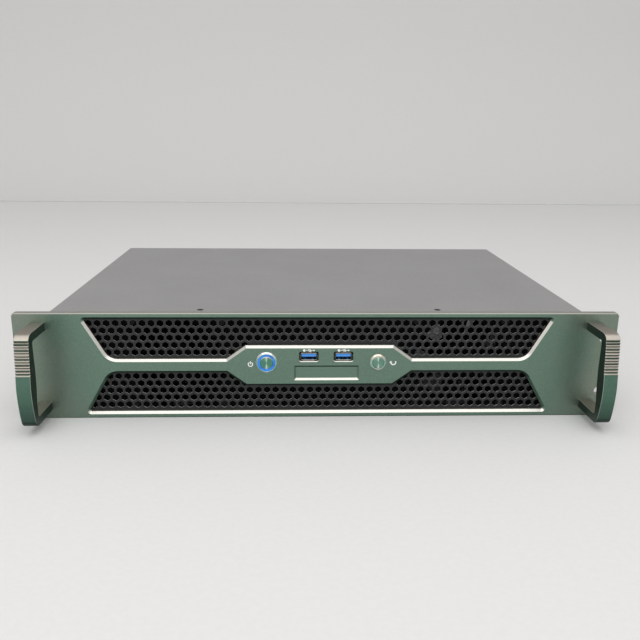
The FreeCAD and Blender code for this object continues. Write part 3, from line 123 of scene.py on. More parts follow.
def remap(tree, value, low, high, start=0.3, end=0.7):
    """Maps a value from start..end to low..high, as for a roughness."""
    return add(tree, "MapRange", {"From Min": start, "From Max": end, "To Min": low, "To Max": high},
               {"Value": value}).outputs["Result"]


def between(tree, value, low, high, start=0.35, end=0.65):
    """Blends two hex colours as value runs from start to end."""
    ramp = add(tree, "ValToRGB", links={"Fac": value})
    for stop, place, code in zip(ramp.color_ramp.elements, (start, end), (low, high)):
        stop.position = place
        stop.color = linear(code)
    return ramp.outputs["Color"]


def mixed(tree, factor, a, b, how="MIX"):
    """Mix of two colours, each an output or a hex code, by a factor output; factor None means 1."""
    node = add(tree, "Mix", data_type="RGBA", blend_type=how)
    for socket, value in (("Factor", factor), ("A", a), ("B", b)):
        if isinstance(value, str):
            node.inputs[socket].default_value = linear(value)
        elif value is None:
            node.inputs[socket].default_value = 1.0
        else:
            tree.links.new(value, node.inputs[socket])
    return node.outputs["Result"]


def maths(tree, operation, a, b=None, **properties):
    """One calculation on values: a is an output, b an output or a plain number."""
    sockets = {1: b} if isinstance(b, (int, float)) else {}
    links = {0: a} if b is None or sockets else {0: a, 1: b}
    return add(tree, "Math", sockets, links, operation=operation, **properties).outputs["Value"]


def rise(tree, shader, value, depth_mm, strength):
    """Bump of a real depth."""
    bump = add(tree, "Bump", {"Distance": depth_mm * MM, "Strength": strength}, {"Height": value})
    tree.links.new(bump.outputs["Normal"], shader.inputs["Normal"])


print("helpers ready")

# %% [markdown]
# ## Which way a surface faces
#
# Satin metal has little colour of its own. It shows the room: a bright ceiling on
# faces that look up, a green workshop bench on faces that look ahead or down. A
# plain studio has neither, so the metal here carries both tones itself. The
# surface's own normal decides between them: its Z part is 1 where the surface
# looks straight up, 0.7 on a bevel at 45 degrees, and 0 on the front face.

# %% Facing up
def normal_part(tree, axis):
    """One part, X, Y or Z, of the surface's normal."""
    normal = add(tree, "NewGeometry").outputs["Normal"]
    return add(tree, "SeparateXYZ", links={"Vector": normal}).outputs[axis]


def looks_up(tree, start, end):
    """Runs from 0 to 1 as the normal's Z part runs from start to end, eased at both ends."""
    return add(tree, "MapRange", {"From Min": start, "From Max": end}, {"Value": normal_part(tree, "Z")},
               interpolation_type="SMOOTHSTEP").outputs["Result"]


print("front faces look up by 0, bevels by", round(math.sin(math.radians(45)), 2))

# %% [markdown]
# ## Machined, bead-blasted and anodised aluminium
#
# The front plate and handles are milled from aluminium, blasted with fine glass
# beads and anodised. That gives a satin metal whose grain is about a tenth of a
# millimetre, drawn coarser here, at 0.45 mm, so that it shows. After blasting,
# the window edges are cut once more with a sharp tool: those 45 degree bevels
# stay smooth and less rough, and their much brighter tone is a painted
# reflection of the ceiling. The plate's top edge carries a painted reflection of
# the ceiling too, at a flatter angle. Towards the ears the plate turns browner,
# a painted reflection of the room, and a slow cloud in the tone moves that
# change about. The green of faces that look ahead is a painted reflection of a
# green bench, and the darker tone of faces that look down is painted shade.

# %% Aluminium
TOP_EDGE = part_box("front_panel")[1].z
BEAD_GRAIN, CLOUD, CLOUD_DRIFT = 0.45, 45, 0.1
EAR_START, EAR_END = 0.235, 0.32  # metres from the middle, drift included
# tone of the painted highlight along the handles' broken edges
EDGE_HIGHLIGHT = "#aebcb3"


def blasted_aluminium(name, tones, bevels, under, polish, flank=None):
    """Satin metal toned by the way it faces, with painted reflections and painted shade.

    tones: hex pairs for faces that look ahead, ahead near the ears, up at a slope, straight up, and down;
    the first four are painted reflections, the last is painted shade.
    bevels and under: where the normal's Z part brings in the sloped and the downward tone.
    polish: roughness of the sloped faces.  flank: hex pair, painted shade, for faces that look sideways.
    """
    material, tree, shader = new_finish(name, Metallic=1.0)
    fine, cloud = grain(tree, BEAD_GRAIN, 2.0), grain(tree, CLOUD, 2.0)
    ahead, ears, sloped, level, below = (between(tree, fine, *pair) for pair in tones)
    place = add(tree, "TexCoord").outputs["Object"]
    at = add(tree, "SeparateXYZ", links={0: place}).outputs
    drift = maths(tree, "MULTIPLY", cloud, CLOUD_DRIFT)
    outward = maths(tree, "ADD", maths(tree, "ABSOLUTE", at["X"]), drift)
    # painted reflection of the room: browner towards the ears
    tone = mixed(tree, remap(tree, outward, 0.0, 1.0, EAR_START, EAR_END), ahead, ears)
    if flank:
        # painted highlight where the edges turn from the front to the sides, then painted shade on the
        # sideways flanks
        side = maths(tree, "ABSOLUTE", normal_part(tree, "X"))
        tone = mixed(tree, remap(tree, side, 0.0, 1.0, 0.3, 0.55), tone, EDGE_HIGHLIGHT)
        tone = mixed(tree, remap(tree, side, 0.0, 1.0, 0.8, 0.98), tone, between(tree, fine, *flank))
    up = looks_up(tree, *bevels)
    # painted reflection of the ceiling on faces that look up at a slope
    tone = mixed(tree, up, tone, sloped)
    # painted reflection on the front strip of the plate's top edge and on faces that look straight up
    rim = remap(tree, at["Z"], 0.0, 1.0, TOP_EDGE - 0.8 * MM, TOP_EDGE - 0.6 * MM)
    flat = maths(tree, "MAXIMUM", looks_up(tree, 0.85, 0.97), rim)
    tone = mixed(tree, flat, tone, level)
    # painted shade on faces that look down
    tone = mixed(tree, looks_up(tree, *under), tone, below)
    tree.links.new(tone, shader.inputs["Base Color"])
    satin = remap(tree, fine, 0.38, 0.48)
    cut = maths(tree, "SUBTRACT", up, flat, use_clamp=True)
    smoother = add(tree, "Mix", {"B": polish}, {"Factor": cut, "A": satin}, data_type="FLOAT")
    tree.links.new(smoother.outputs["Result"], shader.inputs["Roughness"])
    rise(tree, shader, fine, 0.015, 0.4)
    return material


# Tone pairs: the green ahead tones are a painted reflection of a green bench, the lighter ones painted
# reflections of the ceiling, the darkest painted shade.
AHEAD, EARS, HELD = ("#668071", "#7c9486"), ("#82877c", "#969a8e"), ("#4e6c5f", "#628072")
PLATE_TONES = (AHEAD, EARS, ("#d2d0c8", "#e0ded6"), ("#9d9c94", "#adaca4"), ("#2f4239", "#394d43"))
GRIP_TONES = (HELD, HELD, ("#b3aca1", "#c5beb3"), ("#979086", "#a69f95"), ("#2c3a33", "#38483f"))
FINISH = {
    "plate": blasted_aluminium("anodised_plate_aluminium", PLATE_TONES, (0.1, 0.34), (-0.15, -0.5), 0.33),
    "handle": blasted_aluminium("anodised_handle_aluminium", GRIP_TONES, (0.1, 0.5), (0.02, -0.45), 0.5,
                                ("#3d4a43", "#46524b")),
}
print(len(FINISH), "aluminium finishes")

# %% [markdown]
# ## Painted and plated steel
#
# Powder coat is baked plastic with a faint orange peel. On a perforated sheet it
# runs round the rim of every hole, and the lower rims carry a painted highlight of the light from above.
# Zinc plating is a thin metal skin that follows the rolling lines of the sheet.

# %% Steel finishes
def powder_coat(name, low, high, rough, peel=1.1, rim=None, gloss=0.5):
    """Matt baked paint with orange peel about peel mm across; rim is a painted highlight, its tone where it
    looks up.
    """
    material, tree, shader = new_finish(name, **{"Specular IOR Level": gloss})
    skin = grain(tree, peel, 2.0)
    tone = between(tree, grain(tree, 60, 2.0), low, high, 0.2, 0.8)
    if rim:
        # painted highlight where the surface looks up
        tone = mixed(tree, looks_up(tree, 0.2, 0.8), tone, rim)
    tree.links.new(tone, shader.inputs["Base Color"])
    tree.links.new(remap(tree, skin, rough - 0.05, rough + 0.07), shader.inputs["Roughness"])
    rise(tree, shader, skin, 0.04, 0.45)
    return material


def rolled_zinc():
    """Zinc-plated sheet: grey metal with long rolling lines along Y and soft blotches."""
    material, tree, shader = new_finish("zinc_plated_steel", Metallic=0.8)
    lines = grain(tree, 0.9, 3.0, (1.0, 0.03, 1.0))
    blotch = grain(tree, 7, 3.0)
    streak = between(tree, lines, "#dcdcdc", "#ffffff", 0.3, 0.7)
    sheet = mixed(tree, None, between(tree, blotch, "#8f9394", "#9b9fa0"), streak, "MULTIPLY")
    tree.links.new(sheet, shader.inputs["Base Color"])
    tree.links.new(remap(tree, blotch, 0.52, 0.64), shader.inputs["Roughness"])
    rise(tree, shader, lines, 0.01, 0.3)
    return material


FINISH["mesh"] = powder_coat("black_powder_coat", "#151817", "#1b1e1d", 0.5, rim="#969b98")
# near-black front wall and port bracket: painted shade that keeps the case's inside dark behind the mesh
FINISH["inner"] = powder_coat("painted_shade_black_wall", "#020202", "#040404", 0.8, gloss=0.05)
FINISH["cover"] = powder_coat("grey_powder_coat", "#878686", "#8d8c8c", 0.5, 1.4)
FINISH["zinc"] = rolled_zinc()
print(len(FINISH), "finishes so far")

# %% [markdown]
# ## Turned metal
#
# The push buttons are faced on a lathe. The tool leaves rings a few hundredths of
# a millimetre apart, too fine to see one by one, but together they stretch every
# highlight into two opposite fans, like a bow tie. The shader's anisotropy does
# part of that: light spreads along the tangent, so the tangent points outwards
# from the button's axis, square to the rings. The rest of the bow tie, which a
# wide soft lamp washes out, is a painted highlight: a pale tone above and below
# the button's middle. Faces that look up carry the same pale tone as a painted
# reflection, and the green of the faces is a painted reflection of a green bench.

# %% Turned steel
RING_PITCH = 0.35
BOW = 0.3


def turned_steel(name, low, high, rough, lay):
    """Lathe-turned steel whose rings run round an axis along Y through lay = (x, z) in metres.

    low: hex pair of the face, its green a painted reflection.  high: painted highlight, the tone of the bow
    tie and of what looks up.
    The bow tie's share falls from 0.8 where the tangent's X part is near 0 to nothing at BOW.
    """
    material, tree, shader = new_finish(name, Metallic=1.0, Anisotropic=0.95)
    place = add(tree, "TexCoord").outputs["Object"]
    out = add(tree, "Mapping", {"Location": (-lay[0], 0, -lay[1]), "Scale": (1, 0, 1)}, {"Vector": place})
    out = out.outputs["Vector"]
    tangent = add(tree, "VectorMath", links={0: out}, operation="NORMALIZE").outputs["Vector"]
    tree.links.new(tangent, shader.inputs["Tangent"])
    radius = add(tree, "VectorMath", links={0: out}, operation="LENGTH").outputs["Value"]
    wave = maths(tree, "SINE", maths(tree, "MULTIPLY", radius, 2 * math.pi / (RING_PITCH * MM)))
    ahead = between(tree, remap(tree, wave, 0.0, 1.0, -1.0, 1.0), *low, 0.0, 1.0)
    aside = maths(tree, "ABSOLUTE", add(tree, "SeparateXYZ", links={0: tangent}).outputs["X"])
    # painted highlight: the bow tie above and below the middle
    ahead = mixed(tree, remap(tree, aside, 0.8, 0.0, 0.02, BOW), ahead, high)
    # painted reflection on faces that look up
    tone = mixed(tree, looks_up(tree, 0.12, 0.5), ahead, high)
    tree.links.new(tone, shader.inputs["Base Color"])
    tree.links.new(remap(tree, wave, rough, rough + 0.08, -1.0, 1.0), shader.inputs["Roughness"])
    return material


def middle_of(node):
    """Middle of a CAD node's box, x and z, in metres."""
    low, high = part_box(node)
    return np.array([(low.x + high.x) / 2, (low.z + high.z) / 2])


POWER, RESET = middle_of("power_button"), middle_of("reset_button")
# Green face and bezel tones are a painted reflection of a green bench; the last tone is the painted
# highlight.
FINISH["power_face"] = turned_steel("turned_power_face", ("#5f9a82", "#6ea58e"), "#f2efe6", 0.42, POWER)
FINISH["reset_face"] = turned_steel("turned_reset_face", ("#74a390", "#84ae9c"), "#f4eee4", 0.42, RESET)
FINISH["power_bezel"] = turned_steel("turned_power_bezel", ("#9fc4b4", "#abcfc0"), "#e6e8e4", 0.2, POWER)
FINISH["reset_bezel"] = turned_steel("turned_reset_bezel", ("#a6c4b5", "#b4cfc1"), "#ecdccb", 0.2, RESET)
print("power button at", (POWER / MM).round(1), "reset button at", (RESET / MM).round(1))

# %% [markdown]
# ## Mouldings, plating, ink and light
#
# Moulded plastic copies the spark-eroded texture of its mould. Plating is thin
# and bright over whatever lies under it. The ring round the power button is
# frosted polycarbonate with blue lamps behind it.

# %% Small finishes
def moulded(name, low, high, rough, grit_mm=0.8, gloss=0.5):
    """Moulded plastic with a spark-eroded texture of grit_mm."""
    material, tree, shader = new_finish(name, **{"Specular IOR Level": gloss})
    grit = grain(tree, grit_mm, 2.0)
    tree.links.new(between(tree, grit, low, high), shader.inputs["Base Color"])
    tree.links.new(remap(tree, grit, rough - 0.05, rough + 0.06), shader.inputs["Roughness"])
    rise(tree, shader, grit, 0.02, 0.3)
    return material


def plated(name, low, high, rough, lit=None):
    """Thin plating over pressed or turned metal, a little worn; lit is a painted reflection, its tone where
    it looks up.
    """
    material, tree, shader = new_finish(name, Metallic=1.0)
    wear = grain(tree, 1.6, 3.0)
    tone = between(tree, wear, low, high)
    if lit:
        # painted reflection where the surface looks up
        tone = mixed(tree, looks_up(tree, 0.2, 0.7), tone, lit)
    tree.links.new(tone, shader.inputs["Base Color"])
    tree.links.new(remap(tree, wear, rough - 0.04, rough + 0.08), shader.inputs["Roughness"])
    return material


def lit_plastic(name, low, high, strength, patch_mm):
    """Frosted plastic lit from behind, a little uneven from lamp to lamp."""
    material, tree, shader = new_finish(name, Roughness=0.3)
    shade = between(tree, grain(tree, patch_mm, 1.0), low, high)
    tree.links.new(shade, shader.inputs["Base Color"])
    tree.links.new(shade, shader.inputs["Emission Color"])
    shader.inputs["Emission Strength"].default_value = strength
    return material


def circuit_board():
    """Green solder resist over copper tracks that lie mostly along Y, 0.8 mm apart."""
    material, tree, shader = new_finish("solder_resist", Roughness=0.3)
    tracks = grain(tree, 0.8, 1.0, (1.0, 0.2, 1.0))
    tree.links.new(between(tree, tracks, "#0f3d24", "#1b5a36", 0.45, 0.55), shader.inputs["Base Color"])
    return material


FINISH["light"] = lit_plastic("lit_polycarbonate", "#1c63b8", "#2f7fd2", 0.3, 3.5)
FINISH["tongue"] = moulded("blue_insulator_plastic", "#3f8be0", "#4f9aec", 0.35)
FINISH["nickel"] = plated("nickel_plate", "#57564f", "#6a6961", 0.25, "#efe9dc")
FINISH["board"] = circuit_board()
FINISH["fan"] = moulded("black_fan_plastic", "#030303", "#050505", 0.7, gloss=0.05)
FINISH["brass"] = plated("turned_brass", "#b08d4a", "#c4a25c", 0.28)
FINISH["black_screw"] = plated("blackened_steel", "#1a1a1c", "#242427", 0.4)
FINISH["thumb"] = plated("nickel_plated_knurl", "#b4b3ae", "#c6c5c0", 0.28)
FINISH["ink"] = moulded("white_pad_ink", "#e9ebe9", "#f6f7f5", 0.6, 0.6)
print(len(FINISH), "finishes")


# %% Dress the CAD pieces
def finish_for(node):
    """Which finish a CAD node wears."""
    starts = {
        "port_tongue": "tongue", "port_shell": "nickel", "power_": "power_bezel",
        "reset_": "reset_bezel", "left_fan": "fan", "right_fan": "fan", "fan_": "black_screw",
        "cover_": "black_screw", "board_": "brass", "front_panel": "plate", "front_wall": "inner",
        "port_bracket": "inner", "port_board": "board", "port_header": "fan", "top_": "cover",
        "thumb_": "thumb",
    }
    if node in ("power_nut", "reset_nut"):
        return "zinc"
    if node == "power_ring":
        return "light"
    for end, finish in (("_handle", "handle"), ("_mesh", "mesh"), ("_button", node[:5] + "_face")):
        if node.endswith(end):
            return finish
    return next((finish for start, finish in starts.items() if node.startswith(start)), "zinc")


for name, obj in NODES.items():
    obj.data.materials.clear()
    obj.data.materials.append(FINISH[finish_for(name)])
print(len(NODES), "CAD pieces dressed")

# %% [markdown]
# ## Making new pieces
#
# Each new piece is worked out as whole arrays of points: a turned form, a bar
# drawn out from a flat outline, a strip of sheet, or a section carried along a
# line. They all end in one helper that makes the mesh, closes the poles, turns
# the faces outwards and says which CAD body the piece rides on.

# %% From arrays to a piece
SIDES = 96  # steps round a turned form


def shown(name, mesh, body, finish, smooth=35):
    """Object of a mesh; edges sharper than smooth degrees stay sharp."""
    mesh.shade_smooth()
    mesh.set_sharp_from_angle(angle=math.radians(smooth))
    mesh.materials.clear()
    mesh.materials.append(FINISH[finish])
    obj = bpy.data.objects.new(name, mesh)
    bpy.context.scene.collection.objects.link(obj)
    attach(obj, body)
    print(name, len(mesh.polygons), "faces")
    return obj


def keep_flats(obj):
    """Weights the normals by face size, so that rounded edges don't shade the flats beside them."""
    evener = obj.modifiers.new("flats stay flat", "WEIGHTED_NORMAL")
    evener.keep_sharp = True


def piece(name, points, faces, body, slot, finish, smooth=35):
    """New piece from arrays: doubled points are joined and the faces turned outwards."""
    mesh = bpy.data.meshes.new(name)
    mesh.from_pydata(np.asarray(points, float).tolist(), [], [list(map(int, f)) for f in faces])
    work = bmesh.new()
    work.from_mesh(mesh)
    bmesh.ops.remove_doubles(work, verts=work.verts, dist=1e-7)
    bmesh.ops.dissolve_degenerate(work, edges=work.edges, dist=1e-8)
    bmesh.ops.recalc_face_normals(work, faces=work.faces)
    work.to_mesh(mesh)
    work.free()
    return shown(name, mesh, body, finish, smooth)


def grid(rows, columns, wrap_rows=False):
    """Quads between rings of points, ring by ring; wrap_rows joins the last ring to the first."""
    r = np.arange(rows if wrap_rows else rows - 1)[:, None]
    c = np.arange(columns)[None, :]
    r2, c2 = (r + 1) % rows, (c + 1) % columns
    quads = np.stack([r * columns + c, r * columns + c2, r2 * columns + c2, r2 * columns + c], -1)
    return quads.reshape(-1, 4)


def capped(rows, columns):
    """Quads between rings, and one face over the first ring and one over the last."""
    first = np.arange(columns)
    return list(grid(rows, columns)) + [first, first + columns * (rows - 1)]


def together(shapes):
    """Joins several (points, faces) shapes into one."""
    starts = np.cumsum([0] + [len(points) for points, _ in shapes])
    faces = [np.asarray(face) + start for (_, some), start in zip(shapes, starts) for face in some]
    return np.concatenate([points for points, _ in shapes]), faces


def eased(corners, cut, steps=5, closed=True):
    """Outline with its corners rounded.

    Each corner P is replaced by the curve (1-s)^2 A + 2 s (1-s) P + s^2 B, where A and B lie
    the distance cut before and after P.  cut is one number or one for each corner.
    """
    p = np.asarray(corners, float)
    back, ahead = np.roll(p, 1, 0) - p, np.roll(p, -1, 0) - p
    cut = np.broadcast_to(np.asarray(cut, float), (len(p),)).copy()
    if not closed:
        cut[[0, -1]] = 0
    a = p + back / np.linalg.norm(back, axis=1, keepdims=True) * cut[:, None]
    b = p + ahead / np.linalg.norm(ahead, axis=1, keepdims=True) * cut[:, None]
    s = np.linspace(0, 1, steps)[None, :, None]
    curve = (1 - s) ** 2 * a[:, None] + 2 * s * (1 - s) * p[:, None] + s ** 2 * b[:, None]
    return curve.reshape(-1, 2)


def oblong(wide, high, cut):
    """Rectangle about the origin with eased corners."""
    x, z = wide / 2, high / 2
    return eased([(x, z), (-x, z), (-x, -z), (x, -z)], cut)


def turned(profile, middle):
    """Turned form about an axis along Y through middle = (x, z).

    profile is a closed loop of (radius, depth) in millimetres.  Point (i, j) lies at
    middle + radius_i (cos a_j, sin a_j) and depth y_i, with a_j = 2 pi j / SIDES.
    """
    turn = 2 * np.pi * np.arange(SIDES) / SIDES
    radius, depth = (np.asarray(profile, float) * MM).T[:, :, None]
    x = middle[0] + radius * np.cos(turn)
    z = middle[1] + radius * np.sin(turn)
    return np.stack([x, depth + 0 * x, z], -1).reshape(-1, 3), grid(len(profile), SIDES, wrap_rows=True)


def bar(rings, middle):
    """Solid between flat outlines set at depths: rings is a list of (outline, depth) in millimetres."""
    points = [np.insert(np.asarray(line) + middle / MM, 1, depth, axis=1) for line, depth in rings]
    return np.concatenate(points) * MM, capped(len(rings), len(rings[0][0]))


def strip(middle, wide, section):
    """Sheet wide mm across whose closed section is given as (z, y) points, in millimetres."""
    sides = [np.insert(section[:, ::-1], 0, middle + side * wide / 2, axis=1) for side in (-1, 1)]
    return np.concatenate(sides), capped(2, len(section))


print("a 13 by 6 oblong has", len(oblong(13, 6, 1)), "points")

# %% [markdown]
# ## The two switches
#
# A vandal-proof push button is three turned pieces: a bezel whose rim slopes back
# to the plate, a lit ring on the power side only, and a cap with a broken edge.
# The profiles below run once round each section and take their radii from the
# CAD solids they stand for. Two flat pins stick out of the back of each barrel.

# %% Switches
def reach(node):
    """Half the width of a CAD node, in millimetres."""
    low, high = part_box(node)
    return (high.x - low.x) / 2 / MM


def depths(node):
    """Front and rear of a CAD node, in millimetres."""
    low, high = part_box(node)
    return low.y / MM, high.y / MM


PLATE_FACE = depths("front_panel")[0]
CAP = {name: reach(name + "_button") for name in ("power", "reset")}
RIM_SLOPE, EDGE, TRAVEL_ROOM, RUNNING_GAP = 1.2, 0.35, 2.2, 0.1
RING_DEEP, PIN_LONG, PIN_APART, SKIRT = 1.6, 5, 5.0, 1.2


def make_bezel(name, middle, barrel, seat):
    """Bezel and barrel of one switch; seat is the radius where the bezel's inside begins."""
    front, back = depths(name + "_switch")
    rim = reach(name + "_switch")
    bore, floor = CAP[name] + RUNNING_GAP, depths(name + "_button")[1] + TRAVEL_ROOM
    corners = [(0.0, floor), (bore, floor), (bore, front + RING_DEEP), (seat, front + RING_DEEP),
               (seat, front), (rim - RIM_SLOPE, front), (rim, front + RIM_SLOPE), (rim, PLATE_FACE),
               (barrel, PLATE_FACE), (barrel, back - PIN_LONG), (0.0, back - PIN_LONG)]
    shapes = [turned(eased(corners, [0] + [0.1] * 9 + [0], 4), middle)]
    for side in (-1, 1):
        pin = oblong(0.8, 2.8, 0.2) + (side * PIN_APART / 2, 0)
        shapes.append(bar([(pin, back - PIN_LONG - 1), (pin, back)], middle))
    obj = piece(name + "_bezel", *together(shapes), "chassis", "stainless", name + "_bezel")
    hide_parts(name + "_switch")


def make_cap(name, middle):
    """Cap of one switch, with a broken edge in front and a narrower skirt behind."""
    node, cap = name + "_button", CAP[name]
    top, end = depths(node)
    corners = [(0.0, top), (cap - EDGE, top), (cap, top + EDGE), (cap, end - SKIRT),
               (cap - SKIRT, end - SKIRT), (cap - SKIRT, end), (0.0, end)]
    profile = eased(corners, [0] + [0.1] * 5 + [0], 4)
    obj = piece(name + "_cap", *turned(profile, middle), node, "stainless", name + "_face")
    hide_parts(node)


def make_ring():
    """Lit ring between the power cap and its bezel."""
    near, far = depths("power_ring")
    inside, outside = CAP["power"] + 0.12, reach("power_ring") - 0.02
    corners = [(inside, near + 0.1), (outside, near + 0.1), (outside, far), (inside, far)]
    obj = piece("lit_ring", *turned(eased(corners, 0.3), POWER), "chassis", "blue_light", "light")
    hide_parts("power_ring")


make_bezel("power", POWER, 7.6, reach("power_ring"))
make_cap("power", POWER)
make_bezel("reset", RESET, 5.9, CAP["reset"] + RUNNING_GAP)
make_cap("reset", RESET)
make_ring()

# %% [markdown]
# ## The handles
#
# A handle is one thick bar bent back to the plate at both ends. Its section is a
# rectangle with broken edges, carried along the space between an outer and an
# inner line. The upper half of the grip has twelve grooves: there the outer line
# is pushed in by a cosine, once for each groove. Below them the grip bellies out.

# %% Handle lines
HANDLE_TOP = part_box("left_handle")[1].z / MM
GRIP, FOOT = depths("left_handle")
ARM, HAND_ROOM, KNUCKLE, LOWER_BEND = 7.0, 13, 8.5, 6.5
RIBS, RIB_PITCH, RIB_FIRST, RIB_DEEP = 12, 2.23, 5.4, 0.95
ZONE = RIB_FIRST + RIBS * RIB_PITCH + 0.9
STATIONS = 420
BROKEN_EDGE = 0.6


def along(line, count):
    """Points evenly spaced along a line."""
    line = line[np.insert(np.linalg.norm(np.diff(line, axis=0), axis=1) > 1e-9, 0, True)]
    run = np.insert(np.cumsum(np.linalg.norm(np.diff(line, axis=0), axis=1)), 0, 0)
    want = np.linspace(0, run[-1], count)
    return np.column_stack([np.interp(want, run, line[:, 0]), np.interp(want, run, line[:, 1])])


def outer_line():
    """Outer side of the handle in (y, z), foot to foot.

    At the distance d down the grip the line is pushed in by D (1 + cos(2 pi (d - d0) / p)) / 2,
    where p is RIB_PITCH, d0 is RIB_FIRST and D is RIB_DEEP.
    """
    belly = HANDLE_TOP - ZONE - np.array([0.2, 0.46, 0.69]) * (2 * HANDLE_TOP - ZONE)
    corners = [(FOOT, HANDLE_TOP), (GRIP + 4.5, HANDLE_TOP), (GRIP + 1.1, HANDLE_TOP - ZONE),
               (GRIP + 0.05, belly[0]), (GRIP + 0.6, belly[1]), (GRIP + 2.1, belly[2]),
               (GRIP + 5.2, -HANDLE_TOP), (FOOT, -HANDLE_TOP)]
    cuts = [0, KNUCKLE, 2.0, 4.0, 4.0, 4.0, LOWER_BEND, 0]
    line = along(eased(corners, cuts, 14, closed=False), STATIONS)
    knuckle, ribs_end = np.array(corners[1]), np.array(corners[2])
    down = (line - knuckle) @ (ribs_end - knuckle) / np.linalg.norm(ribs_end - knuckle)
    run = np.gradient(line, axis=0)
    side = np.column_stack([-run[:, 1], run[:, 0]]) / np.linalg.norm(run, axis=1, keepdims=True)
    turns = (down - RIB_FIRST) / RIB_PITCH
    on = (turns > -0.5) & (turns < RIBS - 0.5) & (line[:, 0] < GRIP + 8)
    push = RIB_DEEP * (0.5 + 0.5 * np.cos(2 * np.pi * turns)) * on
    return line + side * push[:, None]


def inner_line():
    """Inner side of the handle in (y, z), foot to foot."""
    hollow = HANDLE_TOP - ARM
    back = GRIP + HAND_ROOM
    up = -hollow + np.array([0.615, 0.38, 0.2]) * 2 * hollow
    corners = [(FOOT, hollow), (back - 0.6, hollow), (back + 0.2, up[0]), (back - 0.6, up[1]),
               (back - 2.4, up[2]), (back - 2.6, -hollow), (FOOT, -hollow)]
    return along(eased(corners, [0, 3.0, 4.0, 4.0, 4.0, 3.0, 0], 10, closed=False), STATIONS)


OUTER, INNER = outer_line(), inner_line()
print("the grip reaches", round(FOOT - OUTER[:, 0].min(), 1), "mm from the plate")


# %% Handles
CORNER = 0.25


def stretched(share, length):
    """Unit section coordinate to millimetres: the CORNER next to 0 or 1 becomes BROKEN_EDGE long."""
    edge = np.minimum(share, 1 - share) / CORNER * BROKEN_EDGE
    return np.where(share < 0.5, edge, length - edge)


def handle(side):
    """Rectangle with broken edges, carried from foot to foot between the two lines."""
    node = side + "_handle"
    low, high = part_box(node)
    start, wide = low.x / MM, (high.x - low.x) / MM
    across = INNER - OUTER
    thick = np.linalg.norm(across, axis=1)[:, None, None]
    unit = eased([(0, 0), (1, 0), (1, 1), (0, 1)], CORNER)
    inward = stretched(unit[None, :, :1], thick)
    x = start + stretched(unit[None, :, 1:], wide) + 0 * inward
    yz = OUTER[:, None] + across[:, None] / thick * inward
    points = np.concatenate([x, yz], -1).reshape(-1, 3) * MM
    faces = capped(STATIONS, len(unit))
    obj = piece(side + "_grab", points, faces, "chassis", "panel_aluminium", "handle", 40)
    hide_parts(node)
    keep_flats(obj)


for side in ("left", "right"):
    handle(side)

# %% [markdown]
# ## The front data ports
#
# A port is a can of thin sheet with eased corners, two sprung fingers punched in
# its floor, lips that flare out to touch the plate, and a blue tongue, here
# without its contacts. The can is one skin: from the closed rear it runs forward
# outside, round the brink of the mouth, and back inside.

# %% Ports
WALL = 0.35
FINGER_APART, FINGER_WIDE, FINGER_LONG, FINGER_HIGH = 6.6, 1.8, 5.75, 0.85
LIP_OUT, LIP_BULGE, LOWER_LIP, SIDE_LIP = 0.75, 0.35, 9.0, 3.0


def lip(wide, half, near):
    """Curved lip wide mm long under a mouth that is half mm from its middle, bulging by a sine."""
    s = np.linspace(0, 1, 7)[:, None]
    line = np.array((-half + 0.1, near + 0.3)) * (1 - s) + np.array((-half - LIP_OUT, near + 0.5)) * s
    line[:, 1] -= LIP_BULGE * np.sin(np.pi * s[:, 0])
    return strip(0.0, wide, np.concatenate([line, line[::-1] + (0.0, 0.18)]))


def finger(x, floor, near):
    """Sprung finger whose height over the floor is H sin(pi s)^1.5, with s from 0 to 1 along it."""
    s = np.linspace(0, 1, 12)
    height = floor + FINGER_HIGH * np.sin(np.pi * s) ** 1.5
    upper = np.column_stack([height, near + FINGER_LONG * s])
    return strip(x, FINGER_WIDE, np.concatenate([upper, upper[::-1] - (0.25, 0.0)]))


def turned_over(points, quarter):
    """Points turned by quarter right angles about Y."""
    x, y, z = points.T
    for _ in range(quarter):
        x, z = -z, x
    return np.column_stack([x, y, z])


def width_and_height(node):
    """Width and height of a CAD node, in millimetres."""
    low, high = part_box(node)
    return (high.x - low.x) / MM, (high.z - low.z) / MM


def make_can(side):
    """Sheet can of one data port: a tube with its fingers and lips."""
    node = "port_shell_" + side
    middle = middle_of(node)
    wide, tall = width_and_height(node)
    near, far = depths(node)
    outer = oblong(wide, tall, 1.1)
    inner = oblong(wide - 2 * WALL, tall - 2 * WALL, 0.8)
    brink = oblong(wide - 0.3, tall - 0.3, 1.0)
    rings = [(outer, far), (outer, near + 0.1), (brink, near), (inner, near + 0.1), (inner, far - 2)]
    loose = [(0, finger(x, -tall / 2 + WALL, near + 0.25)) for x in (-FINGER_APART / 2, FINGER_APART / 2)]
    loose.append((0, lip(LOWER_LIP, tall / 2, near)))
    loose += [(quarter, lip(SIDE_LIP, wide / 2, near)) for quarter in (1, 3)]
    place = np.array([middle[0], 0, middle[1]])
    shapes = [(turned_over(points, quarter) * MM + place, faces) for quarter, (points, faces) in loose]
    shapes.insert(0, bar(rings, middle))
    obj = piece("port_can_" + side, *together(shapes), "chassis", "nickel_sheet", "nickel")
    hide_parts(node)


def make_blade(side):
    """Tongue of one data port, with a broken edge in front."""
    node = "port_tongue_" + side
    wide, tall = width_and_height(node)
    near, far = depths(node)
    tip, full = oblong(wide - 0.5, tall - 0.5, 0.2), oblong(wide, tall, 0.3)
    shape = bar([(tip, near), (full, near + 0.3), (full, far)], middle_of(node))
    obj = piece("port_blade_" + side, *shape, "chassis", "blue_plastic", "tongue")
    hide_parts(node)


for side in ("left", "right"):
    make_can(side)
    make_blade(side)

# %% [markdown]
# ## The cover's folds
#
# Sheet steel can't be folded to a sharp corner. The CAD lid has square edges, so
# a copy of it gets its long outer edges rounded. The copy's loose triangles are
# joined first. The edges to round are those that lie on two outer sides of the
# lid at once: left, right, rear or top.

# %% Folded cover
FOLD = 1.2


